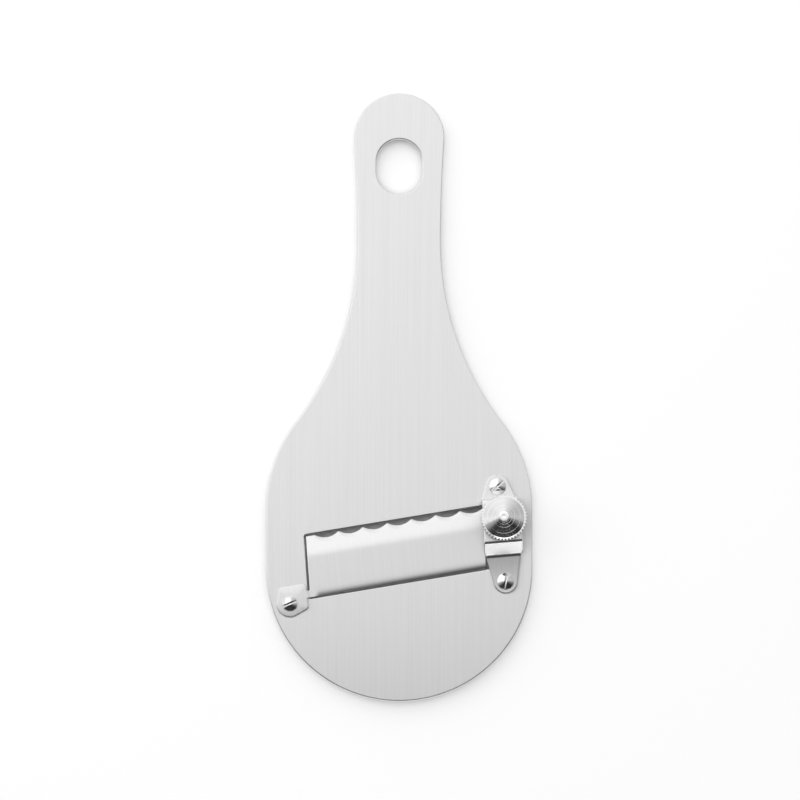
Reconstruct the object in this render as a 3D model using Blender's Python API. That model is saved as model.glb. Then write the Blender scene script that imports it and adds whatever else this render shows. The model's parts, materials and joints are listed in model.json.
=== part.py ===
"""Hand-held truffle slicer in stainless steel, with a scalloped blade raised by a knurled knob.

Metres, +Z up. The plate lies parallel to XY with its handle towards +Y. The origin is
the middle of the plate in plan, on the plane of the screw tips that the slicer rests on.
"""
import bpy
import bmesh
import math
from mathutils import Vector, geometry

# Plate, in plan: a half-round body, hollow shoulders and a round-ended handle.
plate_length = 0.184
plate_thickness = 0.0015
plate_edge_round = 0.00045
body_radius = 0.040
body_side_length = 0.0177
shoulder_radius = 0.0436
neck_half_width = 0.0126
neck_to_end_share = 0.2486
handle_end_radius = 0.0137

# Hanging hole in the handle, a short slot with round ends.
hanging_hole_radius = 0.00685
hanging_hole_length = 0.0166
hanging_hole_to_handle_end = 0.0224

# Blade frame: the line that the blade tilts about, at the neck of its fixed lug.
flexure_from_side = 0.01267
flexure_behind_body_centre = 0.0075
edge_slope = math.radians(9.4)
end_slope = math.radians(5.4)

# Blade sheet and its plan, s along the cutting edge and n towards the handle.
blade_thickness = 0.0008
blade_width = 0.0174
blade_left_gap = 0.0006
cutting_land = 0.00012
ground_bevel_width = 0.0052
trailing_overhang = 0.00055
trailing_roll_width = 0.0037
trailing_roll_drop_left = 0.0009
trailing_roll_drop_right = 0.0015
roll_run_in = 0.0045
blade_corner_radius = 0.0005
notch_corner_radius = 0.0008
flexure_width = 0.0019
flexure_length = 0.0013
flexure_cut = 0.0001
tab_rear_n = 0.0046
tab_overhang = 0.0036
tab_hole_radius = 0.0020

# Scallops ground across the cutting edge.
scallop_count = 7
scallop_land = 0.0003
scallop_depth = 0.0009
scallop_grind_length = 0.0019
first_cusp_s = 0.00464
last_cusp_to_adjuster = 0.00502

# Window in the plate round the blade.
window_front_gap = 0.00055
window_rear_gap = 0.0005
window_past_flexure = 0.00024
window_corner_radius = 0.0009

# Lug of the blade, screwed down on the plate.
lug_screw_from_flexure = (-0.00547, -0.0033)
lug_end_radius = 0.0040
lug_corner_radius = 0.0012
lug_front_left = (-0.0033, 0.0049)
lug_front_right = (0.0049, 0.0063)
lug_rear_right = (0.0056, -0.0014)
lug_edge_round = 0.00015

# Bridge: a strap with two feet, raised over the end of the blade.
bridge_turn = math.radians(4.8)
bridge_thickness = 0.0010
bridge_screw_spacing = 0.0286
bridge_end_radius = 0.0036
bridge_foot_half_width = 0.0054
bridge_half_width = 0.0059
bridge_rise = 0.0048
bridge_rear_foot = -0.0062
bridge_rear_shoulder = -0.0032
bridge_front_shoulder = 0.0099
bridge_front_foot = 0.0104
bridge_bend_radius = 0.0014
bridge_edge_round = 0.00018
bridge_taper_length = 0.0020

# Adjuster: a knob fixed on a threaded stud, placed from the plate's side, the blade and the bridge.
adjuster_from_side = 0.0088
adjuster_to_tilt_axis = 0.01205
adjuster_side_offset = 0.0009
adjuster_front_offset = 0.00412
stud_radius = 0.0015
stud_below_nut = 0.0003
stud_above_knob = 0.0003
stud_chamfer = 0.0002
stud_centre_mark = 0.00025
thread_pitch = 0.0005
knob_turns = 1040 / 360

knob_radius = 0.00695
knob_hub_radius = 0.0034
knob_hub_height = 0.0005
knob_rim_height = 0.0030
knob_rim_chamfer = 0.0005
knob_cone_foot_radius = 0.0063
knob_cone_height = 0.0042
knob_top_radius = 0.00195
knob_groove_width = 0.00030
knob_groove_depth = 0.00012
knob_groove_radii = (0.0052, 0.00346)
knurl_teeth = 42
knurl_depth = 0.00024

washer_radius = 0.0035
washer_thickness = 0.0005

# Lift nut: square, with a crowned top that the tilting blade tab rides on.
lift_nut_width = 0.0055
lift_nut_height = 0.0024
lift_nut_corner_radius = 0.0006
lift_nut_crown_radius = 0.0069
lift_nut_crown_reach_share = 0.8
lift_nut_guide_gap = 0.00025

# Return spring on the stud, between the blade tab and the bridge.
spring_wire_radius = 0.0002
spring_coil_radius = 0.00215
spring_turns = 3

# Slotted screws and hexagon nuts.
bridge_screw_head_radius = 0.00255
lug_screw_head_radius = 0.0023
screw_head_height = 0.0015
screw_head_side = 0.0005
screw_shank_radius = 0.00125
screw_slot_width = 0.00055
screw_slot_depth = 0.0008
screw_tip_length = 0.0004
screw_tip_chamfer = 0.0002
nut_width = 0.0050
nut_height = 0.0020
nut_edge_round = 0.00025
slot_angles = {
    "lug_screw": math.radians(22.8),
    "front_bridge_screw": math.radians(37.7),
    "rear_bridge_screw": math.radians(79),
}

# Clearances.
seat_gap = 0.0001
running_gap = 0.00005
clearance_gap = 0.0002
side_gap = 0.0004
cut_overrun = 0.002

# Facets.
wide_arc_step = math.radians(6)
corner_arc_step = math.radians(18)
edge_round_steps = 2
round_sides = 24
small_round_sides = 16
roll_steps = 4
scallop_steps = 8
bend_steps = 3
end_arc_step = math.radians(20)
curl_points = 10

# Heights that follow from the stack of pieces.
back_z = screw_tip_length + nut_height + seat_gap
top_z = back_z + plate_thickness
sheet_z = top_z + seat_gap
flexure_z = sheet_z + blade_thickness / 2
bridge_top_z = sheet_z + bridge_rise + bridge_thickness
washer_z = bridge_top_z + seat_gap
knob_z = washer_z + washer_thickness + seat_gap
knob_rim_z = knob_hub_height
knob_cone_z = knob_rim_z + knob_rim_height
knob_top_z = knob_cone_z + knob_cone_height

# Places in plan that follow from the sizes.
edge_n = blade_width - trailing_overhang
window_front_n = edge_n + window_front_gap
window_rear_n = -trailing_overhang - window_rear_gap
handle_end_y = plate_length / 2
neck_y = handle_end_y - plate_length * neck_to_end_share
handle_centre_y = handle_end_y - handle_end_radius
hanging_hole_y = handle_end_y - hanging_hole_to_handle_end
body_centre_y = body_radius - plate_length / 2
shoulder_start_y = body_centre_y + body_side_length
flexure_x = flexure_from_side - body_radius
flexure_y = body_centre_y - flexure_behind_body_centre
lug_screw_x = flexure_x + lug_screw_from_flexure[0]
lug_screw_y = flexure_y + lug_screw_from_flexure[1]
adjuster_x = body_radius - adjuster_from_side
adjuster_s = (adjuster_x - flexure_x + adjuster_to_tilt_axis * math.sin(edge_slope)) / math.cos(edge_slope)
adjuster_y = flexure_y + adjuster_s * math.sin(edge_slope) + adjuster_to_tilt_axis * math.cos(edge_slope)
bridge_x = (adjuster_x - adjuster_side_offset * math.cos(bridge_turn)
            + adjuster_front_offset * math.sin(bridge_turn))
bridge_y = (adjuster_y - adjuster_side_offset * math.sin(bridge_turn)
            - adjuster_front_offset * math.cos(bridge_turn))
window_right_s = adjuster_s + (lift_nut_width / 2 + lift_nut_guide_gap) / math.cos(end_slope)
scallop_pitch = (adjuster_s - last_cusp_to_adjuster - first_cusp_s) / scallop_count


def from_blade_frame(s, n):
    """Plan point of a place given along the cutting edge and towards the handle."""
    return Vector((
        flexure_x + s * math.cos(edge_slope) - n * math.sin(edge_slope),
        flexure_y + s * math.sin(edge_slope) + n * math.cos(edge_slope),
    ))


def to_blade_frame(x, y):
    """Place along the cutting edge and towards the handle of a plan point."""
    across = x - flexure_x
    up = y - flexure_y
    return Vector((
        across * math.cos(edge_slope) + up * math.sin(edge_slope),
        up * math.cos(edge_slope) - across * math.sin(edge_slope),
    ))


def from_bridge_frame(across, along):
    """Plan point of a place given across the strap and along it towards the handle."""
    return Vector((
        bridge_x + across * math.cos(bridge_turn) - along * math.sin(bridge_turn),
        bridge_y + across * math.sin(bridge_turn) + along * math.cos(bridge_turn),
    ))


front_bridge_screw = from_bridge_frame(0, bridge_screw_spacing / 2)
rear_bridge_screw = from_bridge_frame(0, -bridge_screw_spacing / 2)


def clear_scene():
    """Empty the file before the slicer is made."""
    for thing in list(bpy.data.objects):
        bpy.data.objects.remove(thing, do_unlink=True)


def steel(name, colour, roughness):
    """Metal with one colour and one roughness."""
    metal = bpy.data.materials.new(name)
    metal.use_nodes = True
    shader = metal.node_tree.nodes["Principled BSDF"]
    shader.inputs["Base Color"].default_value = (*colour, 1)
    shader.inputs["Metallic"].default_value = 1
    shader.inputs["Roughness"].default_value = roughness
    return metal


def add_object(name, data, material=None, parent=None):
    """Link mesh or curve data to the scene as one named piece."""
    piece = bpy.data.objects.new(name, data)
    bpy.context.scene.collection.objects.link(piece)
    if material is not None:
        data.materials.append(material)
    piece.parent = parent
    return piece


def add_empty(name, x, y, z, turn):
    """Frame that the pieces of one assembly are placed in."""
    frame = bpy.data.objects.new(name, None)
    bpy.context.scene.collection.objects.link(frame)
    frame.location = (x, y, z)
    frame.rotation_euler = (0, 0, turn)
    return frame


def mesh_from(bm, name, smooth_angle=math.radians(40)):
    """Turn a bmesh into mesh data with its faces pointing out and its curves smooth."""
    bmesh.ops.recalc_face_normals(bm, faces=bm.faces)
    mesh = bpy.data.meshes.new(name)
    bm.to_mesh(mesh)
    bm.free()
    mesh.shade_smooth()
    mesh.set_sharp_from_angle(angle=smooth_angle)
    return mesh


def add_boolean(piece, cutter, operation="DIFFERENCE"):
    """Cut a piece with, or trim it to, a hidden guide."""
    cutter.hide_render = True
    cutter.display_type = "WIRE"
    boolean = piece.modifiers.new(cutter.name, "BOOLEAN")
    boolean.operation = operation
    boolean.object = cutter


def arc(centre, radius, start, end, step):
    """Points along an arc, both ends included."""
    count = max(1, math.ceil(abs(end - start) / step - 1e-6))
    angles = [start + (end - start) * index / count for index in range(count + 1)]
    return [Vector((centre[0] + radius * math.cos(a), centre[1] + radius * math.sin(a))) for a in angles]


def circle(x, y, radius, sides):
    """Closed round outline, without a repeated last point."""
    return arc((x, y), radius, 0, 2 * math.pi, 2 * math.pi / sides)[:-1]


def rounded_outline(corners):
    """Closed outline through corners given as (x, y, radius), each corner an arc."""
    points = []
    for index, (x, y, radius) in enumerate(corners):
        corner = Vector((x, y))
        back = (Vector(corners[index - 1][:2]) - corner).normalized()
        ahead = (Vector(corners[(index + 1) % len(corners)][:2]) - corner).normalized()
        if radius == 0:
            points.append(corner)
            continue
        half_angle = back.angle(ahead) / 2
        centre = corner + (back + ahead).normalized() * radius / math.sin(half_angle)
        first = corner + back * radius / math.tan(half_angle) - centre
        turn = math.pi - 2 * half_angle
        if back.x * ahead.y - back.y * ahead.x > 0:
            turn = -turn
        start = math.atan2(first.y, first.x)
        points += arc(centre, radius, start, start + turn, corner_arc_step)
    return points


def inset(points, distance):
    """Outline moved to the left of its direction of travel."""
    moved = []
    for index, point in enumerate(points):
        before = (point - points[index - 1]).normalized()
        after = (points[(index + 1) % len(points)] - point).normalized()
        left = Vector((-before.y - after.y, before.x + after.x)).normalized()
        widen = left.dot(Vector((-before.y, before.x)))
        moved.append(point + left * distance / widen)
    return moved


def edge_levels(thickness, edge_round):
    """Inset and height of each ring of a sheet's edge, from its back to its top."""
    if edge_round == 0:
        return [(0, 0), (0, thickness)]
    quarter = [math.pi / 2 * index / edge_round_steps for index in range(edge_round_steps + 1)]
    lower = [(edge_round * (1 - math.sin(a)), edge_round * (1 - math.cos(a))) for a in quarter]
    upper = [(step_in, thickness - height) for step_in, height in reversed(lower)]
    return lower + upper


def sheet(bm, loops, thickness, base_z=0):
    """Flat sheet with holes. Each loop is (points, edge round), clockwise round a hole."""
    back_loops = []
    top_loops = []
    for points, edge_round in loops:
        rings = []
        for step_in, height in edge_levels(thickness, edge_round):
            ring = inset(points, step_in)
            rings.append([bm.verts.new((p.x, p.y, base_z + height)) for p in ring])
        for lower, upper in zip(rings, rings[1:]):
            for index in range(len(points)):
                bm.faces.new((lower[index - 1], lower[index], upper[index], upper[index - 1]))
        back_loops.append(rings[0])
        top_loops.append(rings[-1])
    for cap in (back_loops, top_loops):
        corners = [corner for loop in cap for corner in loop]
        for triangle in geometry.tessellate_polygon([[corner.co for corner in loop] for loop in cap]):
            bm.faces.new([corners[index] for index in triangle])


def sheet_mesh(name, loops, thickness, base_z=0):
    """Mesh data of one flat sheet."""
    bm = bmesh.new()
    sheet(bm, loops, thickness, base_z)
    return mesh_from(bm, name)


def turned_mesh(name, profile, sides, bored=False):
    """Turned solid from (radius, height) or (radius, height, tooth depth) along its section.

    A bored section closes on itself. Any other begins and ends on the axis.
    """
    bm = bmesh.new()
    rings = []
    for radius, height, *tooth in profile:
        if radius == 0:
            rings.append([bm.verts.new((0, 0, height))] * sides)
            continue
        depth = tooth[0] if tooth else 0
        ring = []
        for index in range(sides):
            angle = 2 * math.pi * index / sides
            reach = radius - depth * (index % 2)
            ring.append(bm.verts.new((reach * math.cos(angle), reach * math.sin(angle), height)))
        rings.append(ring)
    pairs = list(zip(rings, rings[1:]))
    if bored:
        pairs.append((rings[-1], rings[0]))
    for lower, upper in pairs:
        for index in range(sides):
            corners = (lower[index - 1], lower[index], upper[index], upper[index - 1])
            bm.faces.new(list(dict.fromkeys(corners)))
    return mesh_from(bm, name)


def plate_outline():
    """Outline of the plate, anticlockwise: body, right shoulder and flare, handle end, and the mirror."""
    side_gain = body_radius - neck_half_width
    rise = neck_y - shoulder_start_y
    shoulder_turn = 2 * math.atan(side_gain / rise)
    flare_radius = rise / math.sin(shoulder_turn) - shoulder_radius
    handle_turn = 2 * math.atan((handle_end_radius - neck_half_width) / (handle_centre_y - neck_y))
    handle_radius = (handle_centre_y - neck_y) / math.sin(handle_turn) - handle_end_radius
    body = arc((0, body_centre_y), body_radius, -math.pi / 2, 0, wide_arc_step)
    shoulder_centre = (body_radius - shoulder_radius, shoulder_start_y)
    shoulder = arc(shoulder_centre, shoulder_radius, 0, shoulder_turn, wide_arc_step)
    flare_centre = (neck_half_width + flare_radius, neck_y)
    flare = arc(flare_centre, flare_radius, math.pi + shoulder_turn, math.pi, wide_arc_step)
    handle_side_centre = (neck_half_width + handle_radius, neck_y)
    handle_side = arc(handle_side_centre, handle_radius, math.pi, math.pi - handle_turn, wide_arc_step)
    handle_end = arc((0, handle_centre_y), handle_end_radius, -handle_turn, math.pi / 2, wide_arc_step * 2)
    right = body + shoulder + flare[1:] + handle_side[1:] + handle_end[1:]
    left = [Vector((-point.x, point.y)) for point in reversed(right[1:-1])]
    return right + left


def hanging_hole_outline():
    """Slot in the handle, clockwise."""
    straight = hanging_hole_length / 2 - hanging_hole_radius
    upper = arc((0, hanging_hole_y + straight), hanging_hole_radius, math.pi, 0, wide_arc_step * 2)
    lower = arc((0, hanging_hole_y - straight), hanging_hole_radius, 0, -math.pi, wide_arc_step * 2)
    return upper + lower


def window_left_s(n):
    """Left end of the window, which leans back from the square of the cutting edge."""
    return (n - window_rear_n) * math.tan(end_slope) - window_past_flexure


def window_outline():
    """Window round the blade, clockwise in plan."""
    lean = math.tan(end_slope)
    corners = [
        (window_left_s(window_rear_n), window_rear_n),
        (window_left_s(window_front_n), window_front_n),
        (window_right_s + (window_front_n - adjuster_to_tilt_axis) * lean, window_front_n),
        (window_right_s + (window_rear_n - adjuster_to_tilt_axis) * lean, window_rear_n),
    ]
    return rounded_outline([(*from_blade_frame(s, n), window_corner_radius) for s, n in corners])


def screw_hole(x, y):
    """Clearance hole for a screw, clockwise."""
    return circle(x, y, screw_shank_radius + clearance_gap, small_round_sides)[::-1]


def make_plate(material):
    """Plate that is also the handle, with its hanging hole, blade window and screw holes."""
    loops = [
        (plate_outline(), plate_edge_round),
        (hanging_hole_outline(), plate_edge_round),
        (window_outline(), plate_edge_round),
        (screw_hole(lug_screw_x, lug_screw_y), 0),
        (screw_hole(*front_bridge_screw), 0),
        (screw_hole(*rear_bridge_screw), 0),
    ]
    plate = add_object("plate", sheet_mesh("plate", loops, plate_thickness), material)
    plate.location.z = back_z


def blade_section(s, last_s):
    """Section of the blade sheet at one place along the edge, as (n, height over its underside)."""
    run = min(1, max(0, s / roll_run_in - 1))
    along = s / last_s
    full_drop = trailing_roll_drop_left * (1 - along) + trailing_roll_drop_right * along
    drop = full_drop * run ** 2 * (3 - 2 * run)
    roll_n = trailing_roll_width - trailing_overhang
    rear_n = window_rear_n
    bevel_n = edge_n - ground_bevel_width
    top = [(edge_n, cutting_land), (bevel_n, blade_thickness), (roll_n, blade_thickness)]
    under = [(roll_n, 0), (edge_n, 0)]
    roll = []
    for step in range(1, roll_steps + 1):
        share = step / roll_steps
        roll.append((roll_n + (rear_n - roll_n) * share, -drop * share ** 2))
    return top + [(n, blade_thickness + z) for n, z in roll] + roll[::-1] + under


def blade_loft(name):
    """Blade sheet before it is trimmed to its outline, ground in front and rolled behind."""
    last_s = adjuster_s + tab_overhang + cut_overrun
    stations = [-cut_overrun]
    stations += [roll_run_in * (1 + step / roll_steps) for step in range(roll_steps + 1)]
    stations.append(last_s)
    bm = bmesh.new()
    rings = []
    for s in stations:
        section = blade_section(s, last_s)
        rings.append([bm.verts.new((s, n, z - blade_thickness / 2)) for n, z in section])
    for lower, upper in zip(rings, rings[1:]):
        for index in range(len(lower)):
            bm.faces.new((lower[index - 1], lower[index], upper[index], upper[index - 1]))
    bm.faces.new(rings[0])
    bm.faces.new(rings[-1])
    bmesh.ops.triangulate(bm, faces=bm.faces)
    return mesh_from(bm, name)


def blade_outline():
    """Plan of the blade in its own frame, anticlockwise from the neck of the lug."""
    lean = math.tan(end_slope)
    left_s = window_left_s(0) + blade_left_gap
    foot_s, foot_n = to_blade_frame(*from_bridge_frame(-bridge_foot_half_width, bridge_rear_foot))
    notch_s = foot_s - side_gap
    right_s = adjuster_s + tab_overhang
    half_neck = flexure_width / 2
    return rounded_outline([
        (flexure_cut / 2, -half_neck, 0),
        (flexure_length, -half_neck, blade_corner_radius),
        (flexure_length + half_neck, -trailing_overhang, blade_corner_radius),
        (notch_s, -trailing_overhang, blade_corner_radius),
        (notch_s, tab_rear_n, notch_corner_radius),
        (right_s + (tab_rear_n - adjuster_to_tilt_axis) * lean, tab_rear_n, notch_corner_radius),
        (right_s + (edge_n - adjuster_to_tilt_axis) * lean, edge_n + cut_overrun, 0),
        (left_s + (edge_n + cut_overrun) * lean, edge_n + cut_overrun, 0),
        (left_s + half_neck * lean, half_neck, 0),
        (flexure_cut / 2, half_neck, 0),
    ])


def scallop_cutters(name):
    """Row of shallow grinding wheels, each a slice of a wide cylinder laid down towards the edge."""
    half_chord = (scallop_pitch - scallop_land) / 2
    edge_rise = (blade_thickness - cutting_land) / ground_bevel_width
    start_height = cutting_land + edge_rise * scallop_grind_length
    grind_slope = math.atan(start_height / (scallop_grind_length - scallop_depth))
    depth = scallop_depth * math.sin(grind_slope)
    wheel_radius = (half_chord ** 2 + depth ** 2) / (2 * depth)
    half_angle = math.asin(half_chord / wheel_radius)
    # The section lies square to the grinding direction: (along the edge, height over the wheel's foot).
    section = arc((0, wheel_radius), wheel_radius, -math.pi / 2 - half_angle, -math.pi / 2 + half_angle,
                  2 * half_angle / scallop_steps)
    section += [Vector((half_chord, blade_thickness * 2)), Vector((-half_chord, blade_thickness * 2))]
    direction = Vector((0, math.cos(grind_slope), -math.sin(grind_slope)))
    upward = Vector((0, math.sin(grind_slope), math.cos(grind_slope)))
    foot = Vector((0, edge_n - scallop_depth, -blade_thickness / 2))
    bm = bmesh.new()
    for number in range(scallop_count):
        middle = Vector((first_cusp_s + scallop_pitch * (number + 0.5), 0, 0))
        rings = []
        for reach in (-scallop_grind_length * 2, cut_overrun):
            base = middle + foot + direction * reach
            rings.append([bm.verts.new(base + Vector((p.x, 0, 0)) + upward * p.y) for p in section])
        near, far = rings
        for index in range(len(section)):
            bm.faces.new((near[index - 1], near[index], far[index], far[index - 1]))
        bm.faces.new(near)
        bm.faces.new(far)
    return mesh_from(bm, name)


def make_blade(material, frame):
    """Scalloped blade that tilts about its trailing edge, with the tab that the adjuster lifts."""
    blade = add_object("blade", blade_loft("blade"), material, frame)
    tab_hole = circle(adjuster_s, adjuster_to_tilt_axis, tab_hole_radius, round_sides)[::-1]
    guide_loops = [(blade_outline(), 0), (tab_hole, 0)]
    guide_height = blade_thickness * 2 + trailing_roll_drop_right * 2 + cut_overrun * 2
    guide_mesh = sheet_mesh("blade_outline_guide", guide_loops, guide_height, -guide_height / 2)
    add_boolean(blade, add_object("blade_outline_guide", guide_mesh, None, frame), "INTERSECT")
    add_boolean(blade, add_object("scallop_cutters", scallop_cutters("scallop_cutters"), None, frame))


def tangent_corner(centre, radius, first, last):
    """Corner where two tangents of a circle meet, one from a point and one to a point."""
    to_centre = centre - first
    heading = math.atan2(to_centre.y, to_centre.x) - math.asin(radius / to_centre.length)
    from_last = centre - last
    return_heading = math.atan2(from_last.y, from_last.x) + math.asin(radius / from_last.length)
    ahead = Vector((math.cos(heading), math.sin(heading)))
    back = Vector((math.cos(return_heading), math.sin(return_heading)))
    gap = last - first
    reach = (gap.x * back.y - gap.y * back.x) / (ahead.x * back.y - ahead.y * back.x)
    return first + ahead * reach


def make_blade_lug(material, frame):
    """Fixed end of the blade's steel, screwed to the plate, up to the middle of the flexing neck."""
    screw = Vector((lug_screw_x, lug_screw_y))
    front_left = to_blade_frame(*(screw + Vector(lug_front_left)))
    front_right = to_blade_frame(*(screw + Vector(lug_front_right)))
    rear_right = to_blade_frame(*(screw + Vector(lug_rear_right)))
    rear_left = tangent_corner(to_blade_frame(*screw), lug_end_radius, front_left, rear_right)
    side = (front_right - rear_right) / (front_right.y - rear_right.y)
    neck_foot = [rear_right + side * (n - rear_right.y) for n in (-flexure_width / 2, flexure_width / 2)]
    outline = rounded_outline([
        (*front_left, lug_corner_radius),
        (*rear_left, lug_end_radius),
        (*rear_right, lug_corner_radius),
        (*neck_foot[0], 0),
        (-flexure_cut / 2, neck_foot[0].y, 0),
        (-flexure_cut / 2, neck_foot[1].y, 0),
        (*neck_foot[1], 0),
        (*front_right, lug_corner_radius),
    ])
    hole = [to_blade_frame(*point) for point in screw_hole(*screw)]
    loops = [(outline, lug_edge_round), (hole, 0)]
    mesh = sheet_mesh("blade_lug", loops, blade_thickness, -blade_thickness / 2)
    add_object("blade_lug", mesh, material, frame)


def bent_path(corners, radius):
    """Centre line of a bent strip in (along, height), with one radius at every inner corner."""
    path = [Vector(corners[0])]
    for before, corner, after in zip(corners, corners[1:], corners[2:]):
        corner = Vector(corner)
        back = (Vector(before) - corner).normalized()
        ahead = (Vector(after) - corner).normalized()
        half_angle = back.angle(ahead) / 2
        reach = radius / math.tan(half_angle)
        centre = corner + (back + ahead).normalized() * radius / math.sin(half_angle)
        first = corner + back * reach - centre
        turn = math.pi - 2 * half_angle
        if back.x * ahead.y - back.y * ahead.x > 0:
            turn = -turn
        start = math.atan2(first.y, first.x)
        path += arc(centre, radius, start, start + turn, abs(turn) / bend_steps)
    path.append(Vector(corners[-1]))
    return path


def foot_end(screw_along, foot_along):
    """Places and half widths of a foot, from its round end to its bend."""
    outward = math.copysign(1, screw_along)
    length = abs(screw_along - foot_along)
    reach = math.hypot(bridge_foot_half_width, length)
    taper = math.acos(bridge_end_radius / reach) - math.atan2(length, bridge_foot_half_width)
    last = math.pi / 2 - end_arc_step / 2
    count = math.ceil((last - taper) / end_arc_step)
    angles = [last + (taper - last) * index / count for index in range(count + 1)]
    return [
        (screw_along + outward * bridge_end_radius * math.sin(angle), bridge_end_radius * math.cos(angle))
        for angle in angles
    ]


def bridge_half_width_at(along):
    """Half width of the raised part, which narrows to the feet over a short taper at each end."""
    from_foot = min(along - bridge_rear_foot, bridge_front_foot - along)
    share = min(1, max(0, from_foot / bridge_taper_length))
    return bridge_foot_half_width + (bridge_half_width - bridge_foot_half_width) * share


def bridge_mesh(name):
    """Strap swept along its bent centre line, with round-ended tapering feet."""
    half = bridge_thickness / 2
    rear_foot = foot_end(-bridge_screw_spacing / 2, bridge_rear_foot)
    front_foot = foot_end(bridge_screw_spacing / 2, bridge_front_foot)
    middle = bent_path([
        (rear_foot[-1][0], half),
        (bridge_rear_foot, half),
        (bridge_rear_shoulder, half + bridge_rise),
        (bridge_front_shoulder, half + bridge_rise),
        (bridge_front_foot, half),
        (front_foot[-1][0], half),
    ], bridge_bend_radius)[1:-1]
    stations = [(along, half, width) for along, width in rear_foot]
    stations += [(point.x, point.y, bridge_half_width_at(point.x)) for point in middle]
    stations += [(along, half, width) for along, width in reversed(front_foot)]
    bm = bmesh.new()
    rings = []
    for index, (along, height, width) in enumerate(stations):
        before = stations[max(index - 1, 0)]
        after = stations[min(index + 1, len(stations) - 1)]
        back = (Vector((along, height)) - Vector(before[:2])).normalized()
        ahead = (Vector(after[:2]) - Vector((along, height))).normalized()
        tangent = (back + ahead).normalized()
        spread = half / tangent.dot(ahead if back.length == 0 else back)
        normal = Vector((-tangent.y, tangent.x)) * spread
        lower = (along - normal.x, height - normal.y)
        upper = (along + normal.x, height + normal.y)
        rings.append([
            bm.verts.new((-width, *lower)), bm.verts.new((width, *lower)),
            bm.verts.new((width, *upper)), bm.verts.new((-width, *upper)),
        ])
    for lower, upper in zip(rings, rings[1:]):
        for index in range(4):
            bm.faces.new((lower[index - 1], lower[index], upper[index], upper[index - 1]))
    bm.faces.new(rings[0])
    bm.faces.new(rings[-1])
    return mesh_from(bm, name)


def hole_cutter(name, places, height, frame):
    """Round cutters for the holes of a strap, as (across, along, radius)."""
    bm = bmesh.new()
    for x, y, radius in places:
        sheet(bm, [(circle(x, y, radius, round_sides), 0)], height, -cut_overrun)
    return add_object(name, mesh_from(bm, name), None, frame)


def make_bridge(material, frame):
    """Bridge over the blade's tab, with two screw holes and the hole that the stud turns in."""
    bridge = add_object("bridge", bridge_mesh("bridge"), material, frame)
    rounding = bridge.modifiers.new("edge_round", "BEVEL")
    rounding.width = bridge_edge_round
    rounding.segments = edge_round_steps
    rounding.limit_method = "ANGLE"
    rounding.angle_limit = math.radians(50)
    screw_place = bridge_screw_spacing / 2
    places = [
        (0, screw_place, screw_shank_radius + clearance_gap),
        (0, -screw_place, screw_shank_radius + clearance_gap),
        (adjuster_side_offset, adjuster_front_offset, stud_radius + clearance_gap),
    ]
    height = bridge_rise + bridge_thickness + cut_overrun * 2
    add_boolean(bridge, hole_cutter("bridge_hole_cutters", places, height, frame))


def cone_radius(height):
    """Radius of the knob's cone at a height over the knob's foot."""
    share = (height - knob_cone_z) / knob_cone_height
    return knob_cone_foot_radius + (knob_top_radius - knob_cone_foot_radius) * share


def knob_section():
    """Closed section of the knob: bore, hub, knurled rim, grooved cone and flat top."""
    bore = stud_radius + seat_gap
    steepness = knob_cone_height / (knob_cone_foot_radius - knob_top_radius)
    section = [
        (bore, 0),
        (knob_hub_radius, 0),
        (knob_hub_radius, knob_hub_height),
        (knob_radius - knob_rim_chamfer, knob_rim_z),
        (knob_radius, knob_rim_z + knob_rim_chamfer, knurl_depth),
        (knob_radius, knob_cone_z - knob_rim_chamfer, knurl_depth),
        (knob_radius - knob_rim_chamfer, knob_cone_z),
        (knob_cone_foot_radius, knob_cone_z),
    ]
    for groove_radius in knob_groove_radii:
        middle = knob_cone_z + (knob_cone_foot_radius - groove_radius) * steepness
        low = middle - knob_groove_width / 2
        high = middle + knob_groove_width / 2
        section += [
            (cone_radius(low), low),
            (cone_radius(middle) - knob_groove_depth, middle),
            (cone_radius(high), high),
        ]
    section += [(knob_top_radius, knob_top_z), (bore, knob_top_z)]
    return section


def make_knob(material, frame):
    """Turned knob with a knurled rim."""
    mesh = turned_mesh("knob", knob_section(), knurl_teeth * 2, bored=True)
    knob = add_object("knob", mesh, material, frame)
    knob.location.z = knob_z


def lift_nut_base_z():
    """Height of the lift nut's underside, with its crown just below the rim of the tab's hole."""
    rim_drop = lift_nut_crown_radius - math.sqrt(lift_nut_crown_radius ** 2 - tab_hole_radius ** 2)
    return sheet_z - seat_gap + rim_drop - lift_nut_height


def make_adjusting_screw(material, frame):
    """Threaded stud from below the lift nut to the top of the knob, with a centre mark in its end."""
    foot = lift_nut_base_z() - stud_below_nut
    head = knob_z + knob_top_z + stud_above_knob
    section = [
        (0, foot),
        (stud_radius - stud_chamfer, foot),
        (stud_radius, foot + stud_chamfer),
        (stud_radius, head - stud_chamfer),
        (stud_radius - stud_chamfer, head),
        (stud_centre_mark, head),
        (0, head - stud_centre_mark),
    ]
    mesh = turned_mesh("adjusting_screw", section, round_sides)
    add_object("adjusting_screw", mesh, material, frame)


def make_thrust_washer(material, frame):
    """Flat washer between the bridge and the knob's hub."""
    outer = circle(0, 0, washer_radius, round_sides)
    bore = circle(0, 0, stud_radius + clearance_gap, round_sides)[::-1]
    mesh = sheet_mesh("thrust_washer", [(outer, 0), (bore, 0)], washer_thickness)
    washer = add_object("thrust_washer", mesh, material, frame)
    washer.location.z = washer_z


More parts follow.
